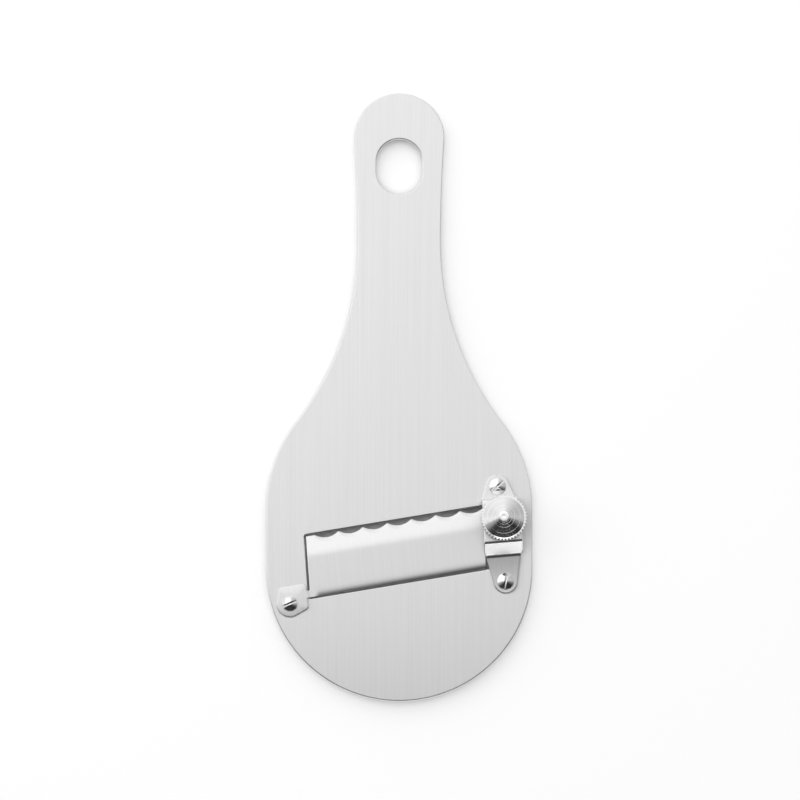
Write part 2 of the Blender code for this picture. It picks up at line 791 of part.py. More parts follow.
def make_lift_nut(material, frame):
    """Square nut that climbs the stud, kept from turning by the end of the window, with a crowned top."""
    half = lift_nut_width / 2
    square = rounded_outline([
        (half, half, lift_nut_corner_radius), (-half, half, lift_nut_corner_radius),
        (-half, -half, lift_nut_corner_radius), (half, -half, lift_nut_corner_radius),
    ])
    bore = circle(0, 0, stud_radius + running_gap, round_sides)[::-1]
    mesh = sheet_mesh("lift_nut", [(square, 0), (bore, 0)], lift_nut_height)
    nut = add_object("lift_nut", mesh, material, frame)
    nut.location.z = lift_nut_base_z()
    nut.rotation_euler.z = edge_slope - end_slope
    crown_centre = lift_nut_height - lift_nut_crown_radius
    crown = [(0, lift_nut_height)]
    widest = math.asin(lift_nut_width / lift_nut_crown_radius * lift_nut_crown_reach_share)
    for step in range(1, bend_steps * 2 + 1):
        angle = widest * step / (bend_steps * 2)
        height = crown_centre + lift_nut_crown_radius * math.cos(angle)
        crown.append((lift_nut_crown_radius * math.sin(angle), height))
    crown += [(crown[-1][0], -cut_overrun), (0, -cut_overrun)]
    guide_mesh = turned_mesh("lift_nut_crown_guide", crown[::-1], round_sides)
    guide = add_object("lift_nut_crown_guide", guide_mesh, None, frame)
    guide.location.z = nut.location.z
    add_boolean(nut, guide, "INTERSECT")


def spring_points():
    """Helix of the spring's wire from the blade tab up to the bridge."""
    low = sheet_z + blade_thickness + seat_gap + spring_wire_radius
    high = bridge_top_z - bridge_thickness - seat_gap - spring_wire_radius
    count = spring_turns * curl_points
    points = []
    for index in range(count + 1):
        angle = 2 * math.pi * index / curl_points
        height = low + (high - low) * index / count
        around = Vector((math.cos(angle), math.sin(angle), 0))
        points.append(around * spring_coil_radius + Vector((0, 0, height)))
    return points


def report_spring_gap(points):
    """Print the least gap between one curl of the spring and another."""
    least = min(
        (a - b).length
        for index, a in enumerate(points)
        for b in points[index + curl_points // 2:]
    )
    print("return_spring least gap to itself: %.3f mm" % ((least - 2 * spring_wire_radius) * 1000))


def make_return_spring(material, frame):
    """Compression spring of one unbroken wire, which holds the blade down and the knob on its seat."""
    points = spring_points()
    report_spring_gap(points)
    wire = bpy.data.curves.new("return_spring", "CURVE")
    wire.dimensions = "3D"
    wire.bevel_depth = spring_wire_radius
    wire.bevel_resolution = 1
    wire.use_fill_caps = True
    spline = wire.splines.new("POLY")
    spline.points.add(len(points) - 1)
    for control, point in zip(spline.points, points):
        control.co = (*point, 1)
    add_object("return_spring", wire, material, frame)


def make_screw(name, x, y, seat_z, head_radius, material):
    """Slotted screw with a domed head, from its seat down through the plate and its nut."""
    dome_height = screw_head_height - screw_head_side
    dome_radius = (head_radius ** 2 + dome_height ** 2) / (2 * dome_height)
    widest = math.asin(head_radius / dome_radius)
    tip = -seat_z
    section = [
        (0, tip),
        (screw_shank_radius - screw_tip_chamfer, tip),
        (screw_shank_radius, tip + screw_tip_chamfer),
        (screw_shank_radius, 0),
        (head_radius, 0),
    ]
    for step in range(bend_steps + 1):
        angle = widest * (1 - step / bend_steps)
        height = screw_head_height - dome_radius + dome_radius * math.cos(angle)
        section.append((dome_radius * math.sin(angle) if step < bend_steps else 0, height))
    screw = add_object(name, turned_mesh(name, section, round_sides), material)
    screw.location = (x, y, seat_z)
    half_length = head_radius + cut_overrun
    half_slot = screw_slot_width / 2
    slot = [
        Vector((half_length, half_slot)), Vector((-half_length, half_slot)),
        Vector((-half_length, -half_slot)), Vector((half_length, -half_slot)),
    ]
    slot_floor = screw_head_height - screw_slot_depth
    slot_mesh = sheet_mesh(name + "_slot", [(slot, 0)], screw_head_height, slot_floor)
    cutter = add_object(name + "_slot", slot_mesh)
    cutter.location = screw.location
    cutter.rotation_euler.z = slot_angles[name]
    add_boolean(screw, cutter)


def make_nut(name, x, y, turn, material):
    """Hexagon nut under the plate."""
    hexagon = circle(0, 0, nut_width / 2 / math.cos(math.pi / 6), 6)
    bore = circle(0, 0, screw_shank_radius + running_gap, round_sides)[::-1]
    loops = [(hexagon, nut_edge_round), (bore, 0)]
    nut = add_object(name, sheet_mesh(name, loops, nut_height), material)
    nut.location = (x, y, back_z - seat_gap - nut_height)
    nut.rotation_euler.z = turn


def make_fasteners(material):
    """Three screws with a nut each."""
    bridge_seat_z = sheet_z + bridge_thickness + seat_gap
    lug_seat_z = sheet_z + blade_thickness + seat_gap
    make_screw("lug_screw", lug_screw_x, lug_screw_y, lug_seat_z, lug_screw_head_radius, material)
    make_nut("lug_nut", lug_screw_x, lug_screw_y, edge_slope, material)
    places = {"front_bridge": front_bridge_screw, "rear_bridge": rear_bridge_screw}
    for side, place in places.items():
        make_screw(side + "_screw", *place, bridge_seat_z, bridge_screw_head_radius, material)
        make_nut(side + "_nut", *place, bridge_turn, material)


def build():
    """Make every piece of the slicer."""
    clear_scene()
    brushed = steel("brushed_steel", (0.62, 0.62, 0.61), 0.34)
    ground = steel("ground_steel", (0.66, 0.66, 0.65), 0.24)
    turned = steel("turned_steel", (0.68, 0.68, 0.67), 0.18)
    spring_wire = steel("spring_wire", (0.50, 0.50, 0.50), 0.30)
    flexure = add_empty("blade_flexure_axis", flexure_x, flexure_y, flexure_z, edge_slope)
    bridge_seat = add_empty("bridge_seat", bridge_x, bridge_y, sheet_z, bridge_turn)
    adjuster = add_empty("adjuster_axis", adjuster_x, adjuster_y, 0, 0)
    make_plate(brushed)
    make_blade(ground, flexure)
    make_blade_lug(ground, flexure)
    make_bridge(brushed, bridge_seat)
    make_knob(turned, adjuster)
    make_adjusting_screw(turned, adjuster)
    make_thrust_washer(turned, adjuster)
    make_lift_nut(turned, adjuster)
    make_return_spring(spring_wire, adjuster)
    make_fasteners(turned)
    lift = thread_pitch * knob_turns
    tilt = math.degrees(lift / (adjuster_to_tilt_axis - tab_hole_radius))
    print("lift nut travel %.2f mm, blade tilt %.2f degrees" % (lift * 1000, tilt))


build()
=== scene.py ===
import json
import math
import bmesh
import bpy
import numpy as np
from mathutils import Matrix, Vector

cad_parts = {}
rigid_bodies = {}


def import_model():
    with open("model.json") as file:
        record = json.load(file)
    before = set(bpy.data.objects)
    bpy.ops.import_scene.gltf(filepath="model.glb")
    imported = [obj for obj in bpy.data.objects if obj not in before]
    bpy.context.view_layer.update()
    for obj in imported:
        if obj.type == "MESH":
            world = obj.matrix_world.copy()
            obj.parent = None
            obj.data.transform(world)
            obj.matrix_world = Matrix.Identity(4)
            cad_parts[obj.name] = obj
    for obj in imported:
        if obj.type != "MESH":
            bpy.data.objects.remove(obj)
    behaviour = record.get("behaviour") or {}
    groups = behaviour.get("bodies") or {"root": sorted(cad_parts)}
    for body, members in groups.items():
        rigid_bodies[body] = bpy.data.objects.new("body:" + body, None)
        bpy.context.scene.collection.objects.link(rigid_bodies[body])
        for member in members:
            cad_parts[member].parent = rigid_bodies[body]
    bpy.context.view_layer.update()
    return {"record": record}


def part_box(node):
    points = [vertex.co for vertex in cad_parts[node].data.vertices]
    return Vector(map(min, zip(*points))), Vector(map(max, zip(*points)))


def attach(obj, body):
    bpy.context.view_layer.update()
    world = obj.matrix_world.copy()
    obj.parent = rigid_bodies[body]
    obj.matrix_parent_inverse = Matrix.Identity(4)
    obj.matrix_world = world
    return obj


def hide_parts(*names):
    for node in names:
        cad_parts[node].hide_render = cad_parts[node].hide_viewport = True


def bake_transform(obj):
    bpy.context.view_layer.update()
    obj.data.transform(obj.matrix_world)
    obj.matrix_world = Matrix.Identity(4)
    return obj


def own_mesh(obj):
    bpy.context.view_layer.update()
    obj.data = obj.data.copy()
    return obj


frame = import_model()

for leftover in [o for o in bpy.data.objects if o.name in ("Cube", "Light", "Camera")]:
    bpy.data.objects.remove(leftover, do_unlink=True)


def frameBox(node):
    # lowest and highest corner of a CAD node, as an array
    return np.array(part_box(node))


def jointOf(name):
    # the record's entry for one joint
    return next(j for j in frame["record"]["behaviour"]["joints"] if j["name"] == name)


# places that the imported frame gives
tiltJoint = jointOf("blade_tilt")
knobJoint = jointOf("knob_turn")
tiltPoint = np.array(tiltJoint["pos_m"][:2])
edgeWay = np.array(tiltJoint["axis"][:2])                   # along the cutting edge, to the knob
widthWay = np.array([-edgeWay[1], edgeWay[0]])              # across the blade, to the handle
knobPlace = np.array(knobJoint["pos_m"])
plateLow, plateHigh = frameBox("plate")
lugLow, lugHigh = frameBox("blade_lug")
bridgeLow = frameBox("bridge")[0]
screwPlaces = {}
for screwName in ("lug_screw", "front_bridge_screw", "rear_bridge_screw"):
    screwLow, screwHigh = frameBox(screwName)
    screwPlaces[screwName] = (screwLow + screwHigh)[:2] / 2
bridgeSpan = screwPlaces["front_bridge_screw"] - screwPlaces["rear_bridge_screw"]
bridgeWay = bridgeSpan / np.linalg.norm(bridgeSpan)         # along the strap, to the handle
bridgeSide = np.array([bridgeWay[1], -bridgeWay[0]])
bridgeMiddle = (screwPlaces["front_bridge_screw"] + screwPlaces["rear_bridge_screw"]) / 2
sheetLow, sheetHigh = lugLow[2], lugHigh[2]                 # under and over the blade's sheet
sheetThickness = sheetHigh - sheetLow


def bladePoint(s, n):
    # plan point of s along the edge and n across it: tilt point + s edge way + n width way
    return tiltPoint + s[..., None] * edgeWay + n[..., None] * widthWay


def bladePlace(points):
    # s and n of plan points, the other way round
    return (points - tiltPoint) @ edgeWay, (points - tiltPoint) @ widthWay


# shared shapes

mergeReach = 2e-7                                           # points closer than this are one


def arcPoints(centre, radius, start, end, spacing):
    # centre + radius (cos a, sin a), a from start to end in steps of about the spacing
    count = int(abs(end - start) * radius / spacing) + 2
    angle = np.linspace(start, end, count)
    return np.array(centre) + radius * np.stack([np.cos(angle), np.sin(angle)], 1)


def roundWays(count):
    # even angles once round, and the unit way (cos a, sin a) at each
    angle = np.arange(count) * 2 * np.pi / count
    return angle, np.stack([np.cos(angle), np.sin(angle)], 1)


def unitWays(ways):
    # each way divided by its own length
    return ways / np.linalg.norm(ways, axis=1)[:, None]


def lengthsAlong(path):
    # length from the first point to each point of a path
    return np.concatenate([[0], np.cumsum(np.linalg.norm(np.diff(path, axis=0), axis=1))])


def bandOutline(centres, radii, count=360):
    # a band stretched round circles: for each way u, the point centre + radius u that lies furthest along u
    _, way = roundWays(count)
    centres, radii = np.array(centres), np.array(radii)
    furthest = np.argmax(way @ centres.T + radii, 1)
    return centres[furthest] + radii[furthest, None] * way


def fillLoop(loop, spacing):
    # closed loop with points added along its long sides, evenly along its length
    ahead = np.roll(loop, -1, 0) - loop
    length = np.linalg.norm(ahead, axis=1)
    pieces = np.maximum(1, np.ceil(length / spacing).astype(int))
    start = np.repeat(np.arange(len(loop)), pieces)
    before = np.repeat(np.cumsum(pieces) - pieces, pieces)
    share = (np.arange(len(start)) - before) / np.repeat(pieces, pieces)
    return loop[start] + share[:, None] * ahead[start]


def outwardWays(loop):
    # unit ways out of an anticlockwise loop, from the points before and after each
    along = np.roll(loop, -1, 0) - np.roll(loop, 1, 0)
    return unitWays(np.stack([along[:, 1], -along[:, 0]], 1))


def readAt(angles, loop, centre, values):
    # values of a loop's points read at other angles round the centre
    own = np.arctan2(loop[:, 1] - centre[1], loop[:, 0] - centre[0])
    return np.stack([np.interp(angles, own, column, period=2 * np.pi) for column in values.T], 1)


def roundedEdge(radius, steps):
    # quarter round from a flat face to a wall: step in radius (1 - sin a), drop radius (1 - cos a)
    angle = np.linspace(0, np.pi / 2, steps + 1)
    return radius * (1 - np.sin(angle)), radius * (1 - np.cos(angle))


def gridFaces(rows, columns, wrap=False, offset=0):
    # quads between neighbours of a grid of points, closed on itself along the rows if it wraps
    index = np.arange(rows * columns).reshape(rows, columns) + offset
    if wrap:
        index = np.vstack([index, index[:1]])
    return np.stack([index[:-1, :-1], index[1:, :-1], index[1:, 1:], index[:-1, 1:]], -1).reshape(-1, 4)


def sheetShell(top, under, wrap=False, openEnd=None):
    # a top grid and an under grid of points, joined by walls round their borders, but for the open places of
    # the outer one
    rows, columns = top.shape[:2]
    points = np.concatenate([top.reshape(-1, 3), under.reshape(-1, 3)])
    index = np.arange(rows * columns).reshape(rows, columns)
    faces = [gridFaces(rows, columns, wrap), gridFaces(rows, columns, wrap, rows * columns)[:, ::-1]]
    borders = [(index[:, 0], None), (index[:, -1], openEnd)]
    if not wrap:
        borders += [(index[0], None), (index[-1], None)]
    for border, gap in borders:
        ahead = np.roll(border, -1) if wrap else border[1:]
        here = border if wrap else border[:-1]
        if gap is not None:
            keep = ~(gap | np.roll(gap, -1))
            here, ahead = here[keep], ahead[keep]
        walls = np.stack([here, ahead, ahead + rows * columns, here + rows * columns], 1)
        faces.append(walls)
    return points, np.concatenate(faces)


def turnedShell(profile, sides, centre, reach=None, closed=False):
    # a profile of (radius, height) turned round a standing axis; reach gives the radius at each angle
    angle, way = roundWays(sides)
    radius = np.repeat(profile[None, :, 0], sides, 0)
    if reach is not None:
        radius = reach(angle[:, None], radius, profile[None, :, 1])
    plan = centre[:2] + radius[..., None] * way[:, None]
    points = np.dstack([plan, np.broadcast_to(profile[:, 1], radius.shape)])
    if closed:
        points = np.concatenate([points, points[:, :1]], 1)
    return points.reshape(-1, 3), gridFaces(sides, points.shape[1], True)


def ringBetween(plan, fall, low, high, openEnd=None):
    # closed ring of plan points between two heights, both faces let in by the fall
    fall = np.zeros(plan.shape[:2]) + fall
    return sheetShell(np.dstack([plan, high - fall]), np.dstack([plan, low + fall]), True, openEnd)


def addObject(name, data):
    # new object at the origin, linked to the scene
    thing = bpy.data.objects.new(name, data)
    bpy.context.scene.collection.objects.link(thing)
    return thing


def shellMesh(name, shells):
    # shells of points and faces become one mesh, with doubles merged and faces turned out
    shift = 0
    allPoints, allFaces = [], []
    for points, faces in shells:
        allPoints.append(points)
        allFaces.append(faces + shift)
        shift += len(points)
    mesh = bpy.data.meshes.new(name)
    mesh.from_pydata(np.concatenate(allPoints).tolist(), [], np.concatenate(allFaces).tolist())
    build = bmesh.new()
    build.from_mesh(mesh)
    bmesh.ops.remove_doubles(build, verts=build.verts, dist=mergeReach)
    bmesh.ops.dissolve_degenerate(build, edges=build.edges, dist=mergeReach / 2)
    bmesh.ops.recalc_face_normals(build, faces=build.faces)
    build.to_mesh(mesh)
    build.free()
    return mesh


def shadeSharp(mesh, sharpAngle):
    # smooth shading, but for edges that turn more than the angle in degrees
    mesh.shade_smooth()
    mesh.set_sharp_from_angle(angle=math.radians(sharpAngle))


def makePiece(name, shells, material, body, nodes, sharpAngle=35):
    # finished piece with its material and body; its CAD nodes are hidden
    mesh = shellMesh(name, shells)
    shadeSharp(mesh, sharpAngle)
    mesh.materials.append(material)
    piece = addObject(name, mesh)
    if body:
        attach(piece, body)
    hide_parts(*nodes)
    return piece


def flatFacesFirst(piece):
    # wide flat faces keep their own shading beside narrow rounded edges
    weighted = piece.modifiers.new("flat faces first", "WEIGHTED_NORMAL")
    weighted.mode = "FACE_AREA"
    weighted.weight = 100
    weighted.keep_sharp = True


# materials

bumpReach = 0.00002                                         # height of a full bump
noiseRange = (0.3, 0.7)                                     # where most of a noise's values lie


def feed(tree, node, inputs):
    # each named or numbered input takes a plain value or another node's output
    for key, value in dict(inputs).items():
        if isinstance(value, bpy.types.NodeSocket):
            tree.links.new(value, node.inputs[key])
        else:
            node.inputs[key].default_value = value
    return node


def addNode(tree, kind, inputs=(), **settings):
    # one node with its plain settings and its inputs
    node = tree.nodes.new("ShaderNode" + kind)
    for key, value in settings.items():
        setattr(node, key, value)
    return feed(tree, node, inputs)


def numberMath(tree, operation, *values):
    # result of one operation on numbers or outputs
    return addNode(tree, "Math", enumerate(values), operation=operation).outputs[0]


def vectorMath(tree, operation, *values, output="Vector"):
    # the same for vectors
    return addNode(tree, "VectorMath", enumerate(values), operation=operation).outputs[output]


def mapRange(tree, value, source, target, shape="LINEAR"):
    # a value's range turned into another one, and held at both ends
    names = ("Value", "From Min", "From Max", "To Min", "To Max")
    inputs = zip(names, (value, *source, *target))
    return addNode(tree, "MapRange", inputs, interpolation_type=shape).outputs["Result"]


def grainWay(tree, place, look):
    # the way that reflections spread: square to the brushing, or away from the middle of a turned part
    if "turnedAbout" in look:
        away = vectorMath(tree, "SUBTRACT", place, (*look["turnedAbout"], 0))
        way = vectorMath(tree, "NORMALIZE", vectorMath(tree, "MULTIPLY", away, (1, 1, 0)))
    else:
        turn = look["brushTurn"]
        way = addNode(tree, "CombineXYZ", {"X": math.cos(turn), "Y": math.sin(turn)}).outputs["Vector"]
    turned = addNode(tree, "VectorTransform", {"Vector": way},
                     vector_type="VECTOR", convert_from="OBJECT", convert_to="WORLD")
    return turned.outputs["Vector"]


def streakNoise(tree, place, look, scale):
    # noise drawn out along the brushing: Object coordinates are turned to it and then scaled; on a turned
    # part the noise reads only the distance from the axis, so it draws rings
    grain = {"Scale": 1, "Detail": 5, "Roughness": 0.65}
    if "turnedAbout" in look:
        x, y = look["turnedAbout"]
        centred = addNode(tree, "Mapping", {"Vector": place, "Location": (-x, -y, 0)}).outputs["Vector"]
        flat = vectorMath(tree, "MULTIPLY", centred, (scale[0], scale[0], 0))
        radius = vectorMath(tree, "LENGTH", flat, output="Value")
        noise = addNode(tree, "TexNoise", {"W": radius, **grain}, noise_dimensions="1D")
    else:
        turned = addNode(tree, "Mapping", {"Vector": place, "Rotation": (0, 0, -look["brushTurn"])})
        stretched = addNode(tree, "Mapping", {"Vector": turned.outputs["Vector"], "Scale": scale})
        noise = addNode(tree, "TexNoise", {"Vector": stretched.outputs["Vector"], **grain})
    return noise.outputs["Fac"]


def spreadRange(tree, value, middle, spread):
    # a noise value turned into middle - spread to middle + spread
    return mapRange(tree, value, noiseRange, (middle - spread, middle + spread))


def steelMaterial(name, look):
    # steel with two layers of streaks: wide ones vary the colour, fine ones the roughness and a very low bump
    metal = bpy.data.materials.new(name)
    metal.use_nodes = True
    tree = metal.node_tree
    place = addNode(tree, "TexCoord").outputs["Object"]
    fine = streakNoise(tree, place, look, look["streakScale"])
    wide = streakNoise(tree, place, look, look["bandScale"])
    tone = spreadRange(tree, wide, look["tone"], look["tone"] * look["streakTone"])
    tint = addNode(tree, "CombineColor", {"Red": tone, "Green": tone, "Blue": tone})
    bump = addNode(tree, "Bump", {"Strength": look["bump"], "Distance": bumpReach, "Height": fine})
    shader = feed(tree, tree.nodes["Principled BSDF"], {
        "Metallic": 1,
        "Anisotropic": look["anisotropy"],
        "Base Color": tint.outputs["Color"],
        "Roughness": spreadRange(tree, fine, look["roughness"], look["roughSpread"]),
        "Normal": bump.outputs["Normal"],
    })
    if look["anisotropy"]:
        feed(tree, shader, {"Tangent": grainWay(tree, place, look)})
    return metal


plateSteel = steelMaterial("brushed plate steel", {
    "tone": 0.86, "streakTone": 0.03, "roughness": 0.36, "roughSpread": 0.03,
    "anisotropy": 0.85, "brushTurn": 0, "streakScale": (9000, 60, 9000), "bandScale": (1700, 14, 1700),
    "bump": 0.15,
})
bladeSteel = steelMaterial("satin blade steel", {
    "tone": 0.85, "streakTone": 0.025, "roughness": 0.36, "roughSpread": 0.03,
    "anisotropy": 0.85, "brushTurn": 0.1, "streakScale": (9000, 90, 9000), "bandScale": (2200, 25, 2200),
    "bump": 0.1,
})
bridgeSteel = steelMaterial("satin bridge steel", {
    "tone": 0.83, "streakTone": 0.05, "roughness": 0.32, "roughSpread": 0.04,
    "anisotropy": 0.4, "brushTurn": 0.08, "streakScale": (9000, 150, 9000), "bandScale": (3000, 120, 3000),
    "bump": 0.08,
})
turnedSteel = steelMaterial("turned bright steel", {
    "tone": 0.88, "streakTone": 0.01, "roughness": 0.09, "roughSpread": 0.02,
    "anisotropy": 0.5, "turnedAbout": tuple(knobPlace[:2]), "streakScale": (9000,), "bandScale": (3000,),
    "bump": 0.02,
})
fastenerSteel = steelMaterial("bright fastener steel", {
    "tone": 0.86, "streakTone": 0.02, "roughness": 0.13, "roughSpread": 0.03,
    "anisotropy": 0, "brushTurn": 0, "streakScale": (1500, 1500, 1500), "bandScale": (600, 600, 600),
    "bump": 0.006,
})
springSteel = steelMaterial("drawn spring wire", {
    "tone": 0.6, "streakTone": 0.03, "roughness": 0.2, "roughSpread": 0.04,
    "anisotropy": 0, "brushTurn": 0, "streakScale": (3000, 3000, 400), "bandScale": (800, 800, 800),
    "bump": 0.05,
})
print("materials made")


# plate: a half-round body, hollow shoulders and a round-ended handle

plateShape = {
    "bodySide": 0.0177,
    "shoulderRadius": 0.0436,
    "neckHalfWidth": 0.0126,
    "neckToEndShare": 0.2486,
    "handleEndRadius": 0.0137,
    "holeRadius": 0.00685,
    "holeLength": 0.0166,
    "holeToEnd": 0.0224,
    "edgeRound": 0.00045,
    "edgeSteps": 6,
    "windowEdgeRun": 0.0004,
    "windowEdgeDrop": 0.00018,
    "spacing": 0.0002,
    "holeSpacing": 0.0001,
    "splitSpacing": 0.00054,
}
bodyRadius = plateHigh[0]
handleEnd = plateHigh[1]
neckY = handleEnd - 2 * handleEnd * plateShape["neckToEndShare"]
hairline = 1e-6                                             # this close to the neck's line is on it
holeY = handleEnd - plateShape["holeToEnd"]
endSlope = math.radians(5.4)                                # lean of the window's and the blade's ends
lean = math.tan(endSlope)
tabHoleS, tabHoleN = bladePlace(knobPlace[:2])

windowShape = {
    "frontGap": 0.00055,
    "rear": -0.0017,
    "pastTilt": 0.00024,
    "pastKnob": 0.00301,
    "cornerRadius": 0.0009,
}
bladeShape = {
    "edge": 0.01685,
    "rear": -0.0015,
    "leftGap": 0.0006,
    "bevelWidth": 0.0052,
    "bevelLand": 0.00012,
    "bevelBlend": 0.0011,
    "rollStart": 0.0042,
    "rollPower": 8.5,
    "rollEnd": -0.0015,
    "rollDropLeft": 0.00018,
    "rollDropRight": 0.00038,
    "rollRunIn": 0.0018,
    "neckFront": 0.0007,
    "neckCrease": 0.00014,
    "neckCreaseDepth": 0.00012,
    "bendRun": 0.0012,
    "tabOverhang": 0.0036,
    "tabRear": 0.0046,
    "tabHoleRadius": 0.0020,
    "notchGap": 0.0004,
    "notchRamp": 0.0004,
    "scallops": 7,
    "firstCusp": 0.00464,
    "lastCuspToKnob": 0.00502,
    "scallopLand": 0.0003,
    "scallopDepth": 0.0012,
    "grindLength": 0.0024,
    "creaseWidth": 0.000012,
    "edgeRound": 0.00012,
    "leftRoundRise": 0.0003,
    "fallLimit": 0.45,
    "thinnest": 0.00002,
    "sharpAngle": 30,
    # grid: places where runs of columns and rows start and end, and how many each has
    "columnSpacing": 0.00016,
    "neckStart": -0.0010,
    "neckGap": 0.00002,
    "neckColumns": 31,
    "rampColumns": 9,
    "roundSteps": 5,
    "rollRowsTo": 0.0062,
    "rollRowPower": 1.5,
    "neckRowsTo": 0.0002,
    "edgeRowsRun": 0.0034,
    "rollRows": 30,
    "flatRows": 12,
    "edgeRows": 26,
}


def plateOutline(spacing):
    # right side from the body's end to the handle's end, as arcs that touch each other, then its mirror
    shape = plateShape
    bodyCentre = plateLow[1] + bodyRadius
    shoulderStart = bodyCentre + shape["bodySide"]
    handleCentre = handleEnd - shape["handleEndRadius"]
    rise = neckY - shoulderStart
    neck, endRadius, shoulder = shape["neckHalfWidth"], shape["handleEndRadius"], shape["shoulderRadius"]
    turn = 2 * math.atan((bodyRadius - neck) / rise)
    flareRadius = rise / math.sin(turn) - shoulder
    endTurn = 2 * math.atan((endRadius - neck) / (handleCentre - neckY))
    sideRadius = (handleCentre - neckY) / math.sin(endTurn) - endRadius
    arcs = [
        ((0, bodyCentre), bodyRadius, -np.pi / 2, 0),
        ((bodyRadius - shoulder, shoulderStart), shoulder, 0, turn),
        ((neck + flareRadius, neckY), flareRadius, np.pi + turn, np.pi),
        ((neck + sideRadius, neckY), sideRadius, np.pi, np.pi - endTurn),
        ((0, handleCentre), endRadius, -endTurn, np.pi / 2),
    ]
    right = np.concatenate([arcPoints(*arc, spacing)[number > 1:] for number, arc in enumerate(arcs)])
    left = right[-2:0:-1] * (-1, 1)
    return fillLoop(np.concatenate([right, left]), spacing)


def windowOutline(spacing):
    # four-sided window round the blade, its corners rounded: a band round four small circles
    shape = windowShape
    radius = shape["cornerRadius"]
    front, rear = bladeShape["edge"] + shape["frontGap"], shape["rear"]
    left = -shape["pastTilt"] - rear * lean
    right = tabHoleS + shape["pastKnob"] - tabHoleN * lean
    n = np.array([rear, rear, front, front]) + np.array([radius, radius, -radius, -radius])
    inset = radius / math.cos(endSlope)
    s = np.array([left + inset, right - inset, right - inset, left + inset]) + n * lean
    return fillLoop(bandOutline(bladePoint(s, n), np.full(4, radius)), spacing)


def hangingHoleOutline(spacing):
    # short slot with round ends: a band round two circles
    straight = plateShape["holeLength"] / 2 - plateShape["holeRadius"]
    centres = [(0, holeY + straight), (0, holeY - straight)]
    return fillLoop(bandOutline(centres, np.full(2, plateShape["holeRadius"])), spacing)


def platePatch(outline, outward, splitSide, hole, holeRun, holeDrop):
    # ring from a hole to the part of the outline on one side of the neck: at each angle round the hole's
    # middle, points go from the hole's rounded edge, of the given run and drop, to the outline's
    shape = plateShape
    keep = (outline[:, 1] - neckY) * splitSide > hairline
    part, ways = outline[keep], outward[keep]
    start = np.argmax(np.linalg.norm(part - np.roll(part, 1, 0), axis=1))
    part, ways = np.roll(part, -start, 0), np.roll(ways, -start, 0)
    corner = shape["neckHalfWidth"]
    count = int(2 * corner / shape["splitSpacing"])
    across = np.linspace(-corner, corner, count) * splitSide
    line = np.stack([across, np.full(count, neckY)], 1)
    lineWays = np.zeros_like(line)
    lineWays[0, 0], lineWays[-1, 0] = -splitSide, splitSide
    outer = np.concatenate([part, line])
    outerWays = np.concatenate([ways, lineWays])
    isSplit = np.zeros(len(outer), bool)
    isSplit[len(part) + 1:-1] = True
    centre = hole.mean(0)
    angles = np.arctan2(outer[:, 1] - centre[1], outer[:, 0] - centre[0])
    inner = readAt(angles, hole, centre, hole)
    innerWays = unitWays(readAt(angles, hole, centre, outwardWays(hole)))
    unitIn, unitDrop = roundedEdge(1, shape["edgeSteps"])
    stepIn, drop = unitIn * shape["edgeRound"], unitDrop * shape["edgeRound"]
    fromHole = inner[:, None] + innerWays[:, None] * (unitIn * holeRun)[::-1, None]
    toEdge = outer[:, None] - outerWays[:, None] * stepIn[:, None]
    plan = np.concatenate([fromHole, toEdge], 1)
    fall = np.repeat(np.concatenate([(unitDrop * holeDrop)[::-1], drop])[None], len(outer), 0)
    fall[isSplit, len(drop):] = 0
    return ringBetween(plan, fall, plateLow[2], plateHigh[2], isSplit)


outline = plateOutline(plateShape["spacing"])
outlineWays = outwardWays(outline)
holeSpacing, edgeRound = plateShape["holeSpacing"], plateShape["edgeRound"]
plate = makePiece(
    "plate_brushed",
    [platePatch(outline, outlineWays, 1, hangingHoleOutline(holeSpacing), edgeRound, edgeRound),
     platePatch(outline, outlineWays, -1, windowOutline(holeSpacing),
                plateShape["windowEdgeRun"], plateShape["windowEdgeDrop"])],
    plateSteel, "slicer_body", ["plate"])
flatFacesFirst(plate)
print("plate made:", len(plate.data.polygons), "faces")


# blade and its lug: one stamping, ground with scallops in front and rolled down behind

scallopPitch = (tabHoleS - bladeShape["lastCuspToKnob"] - bladeShape["firstCusp"]) / bladeShape["scallops"]
bevelRise = (sheetThickness - bladeShape["bevelLand"]) / bladeShape["bevelWidth"]
bladeLeft = -windowShape["pastTilt"] - windowShape["rear"] * lean + bladeShape["leftGap"]
bladeRight = tabHoleS + bladeShape["tabOverhang"] - tabHoleN * lean


def smoothStep(share):
    # 3 x^2 - 2 x^3, with x held between 0 and 1
    x = np.clip(share, 0, 1)
    return x ** 2 * (3 - 2 * x)


def scallopWheel():
    # half length of a scallop, and slope and radius of the wheel that grinds it to the given depth:
    # radius = (half length^2 + depth^2) / (2 depth), with the depth square to the slope
    shape = bladeShape
    halfChord = (scallopPitch - shape["scallopLand"]) / 2
    startHeight = shape["bevelLand"] + bevelRise * shape["grindLength"]
    slope = math.atan(startHeight / (shape["grindLength"] - shape["scallopDepth"]))
    depth = shape["scallopDepth"] * math.sin(slope)
    return halfChord, slope, (halfChord ** 2 + depth ** 2) / (2 * depth)


halfChord, grindSlope, wheelRadius = scallopWheel()


def scallopRise(s):
    # how high the wheel's face stands over its lowest line at s, and whether s lies under a wheel
    number = np.floor((s - bladeShape["firstCusp"]) / scallopPitch)
    aside = s - bladeShape["firstCusp"] - (number + 0.5) * scallopPitch
    under = (number >= 0) & (number < bladeShape["scallops"]) & (np.abs(aside) < halfChord)
    return wheelRadius - np.sqrt(wheelRadius ** 2 - np.minimum(np.abs(aside), halfChord) ** 2), under


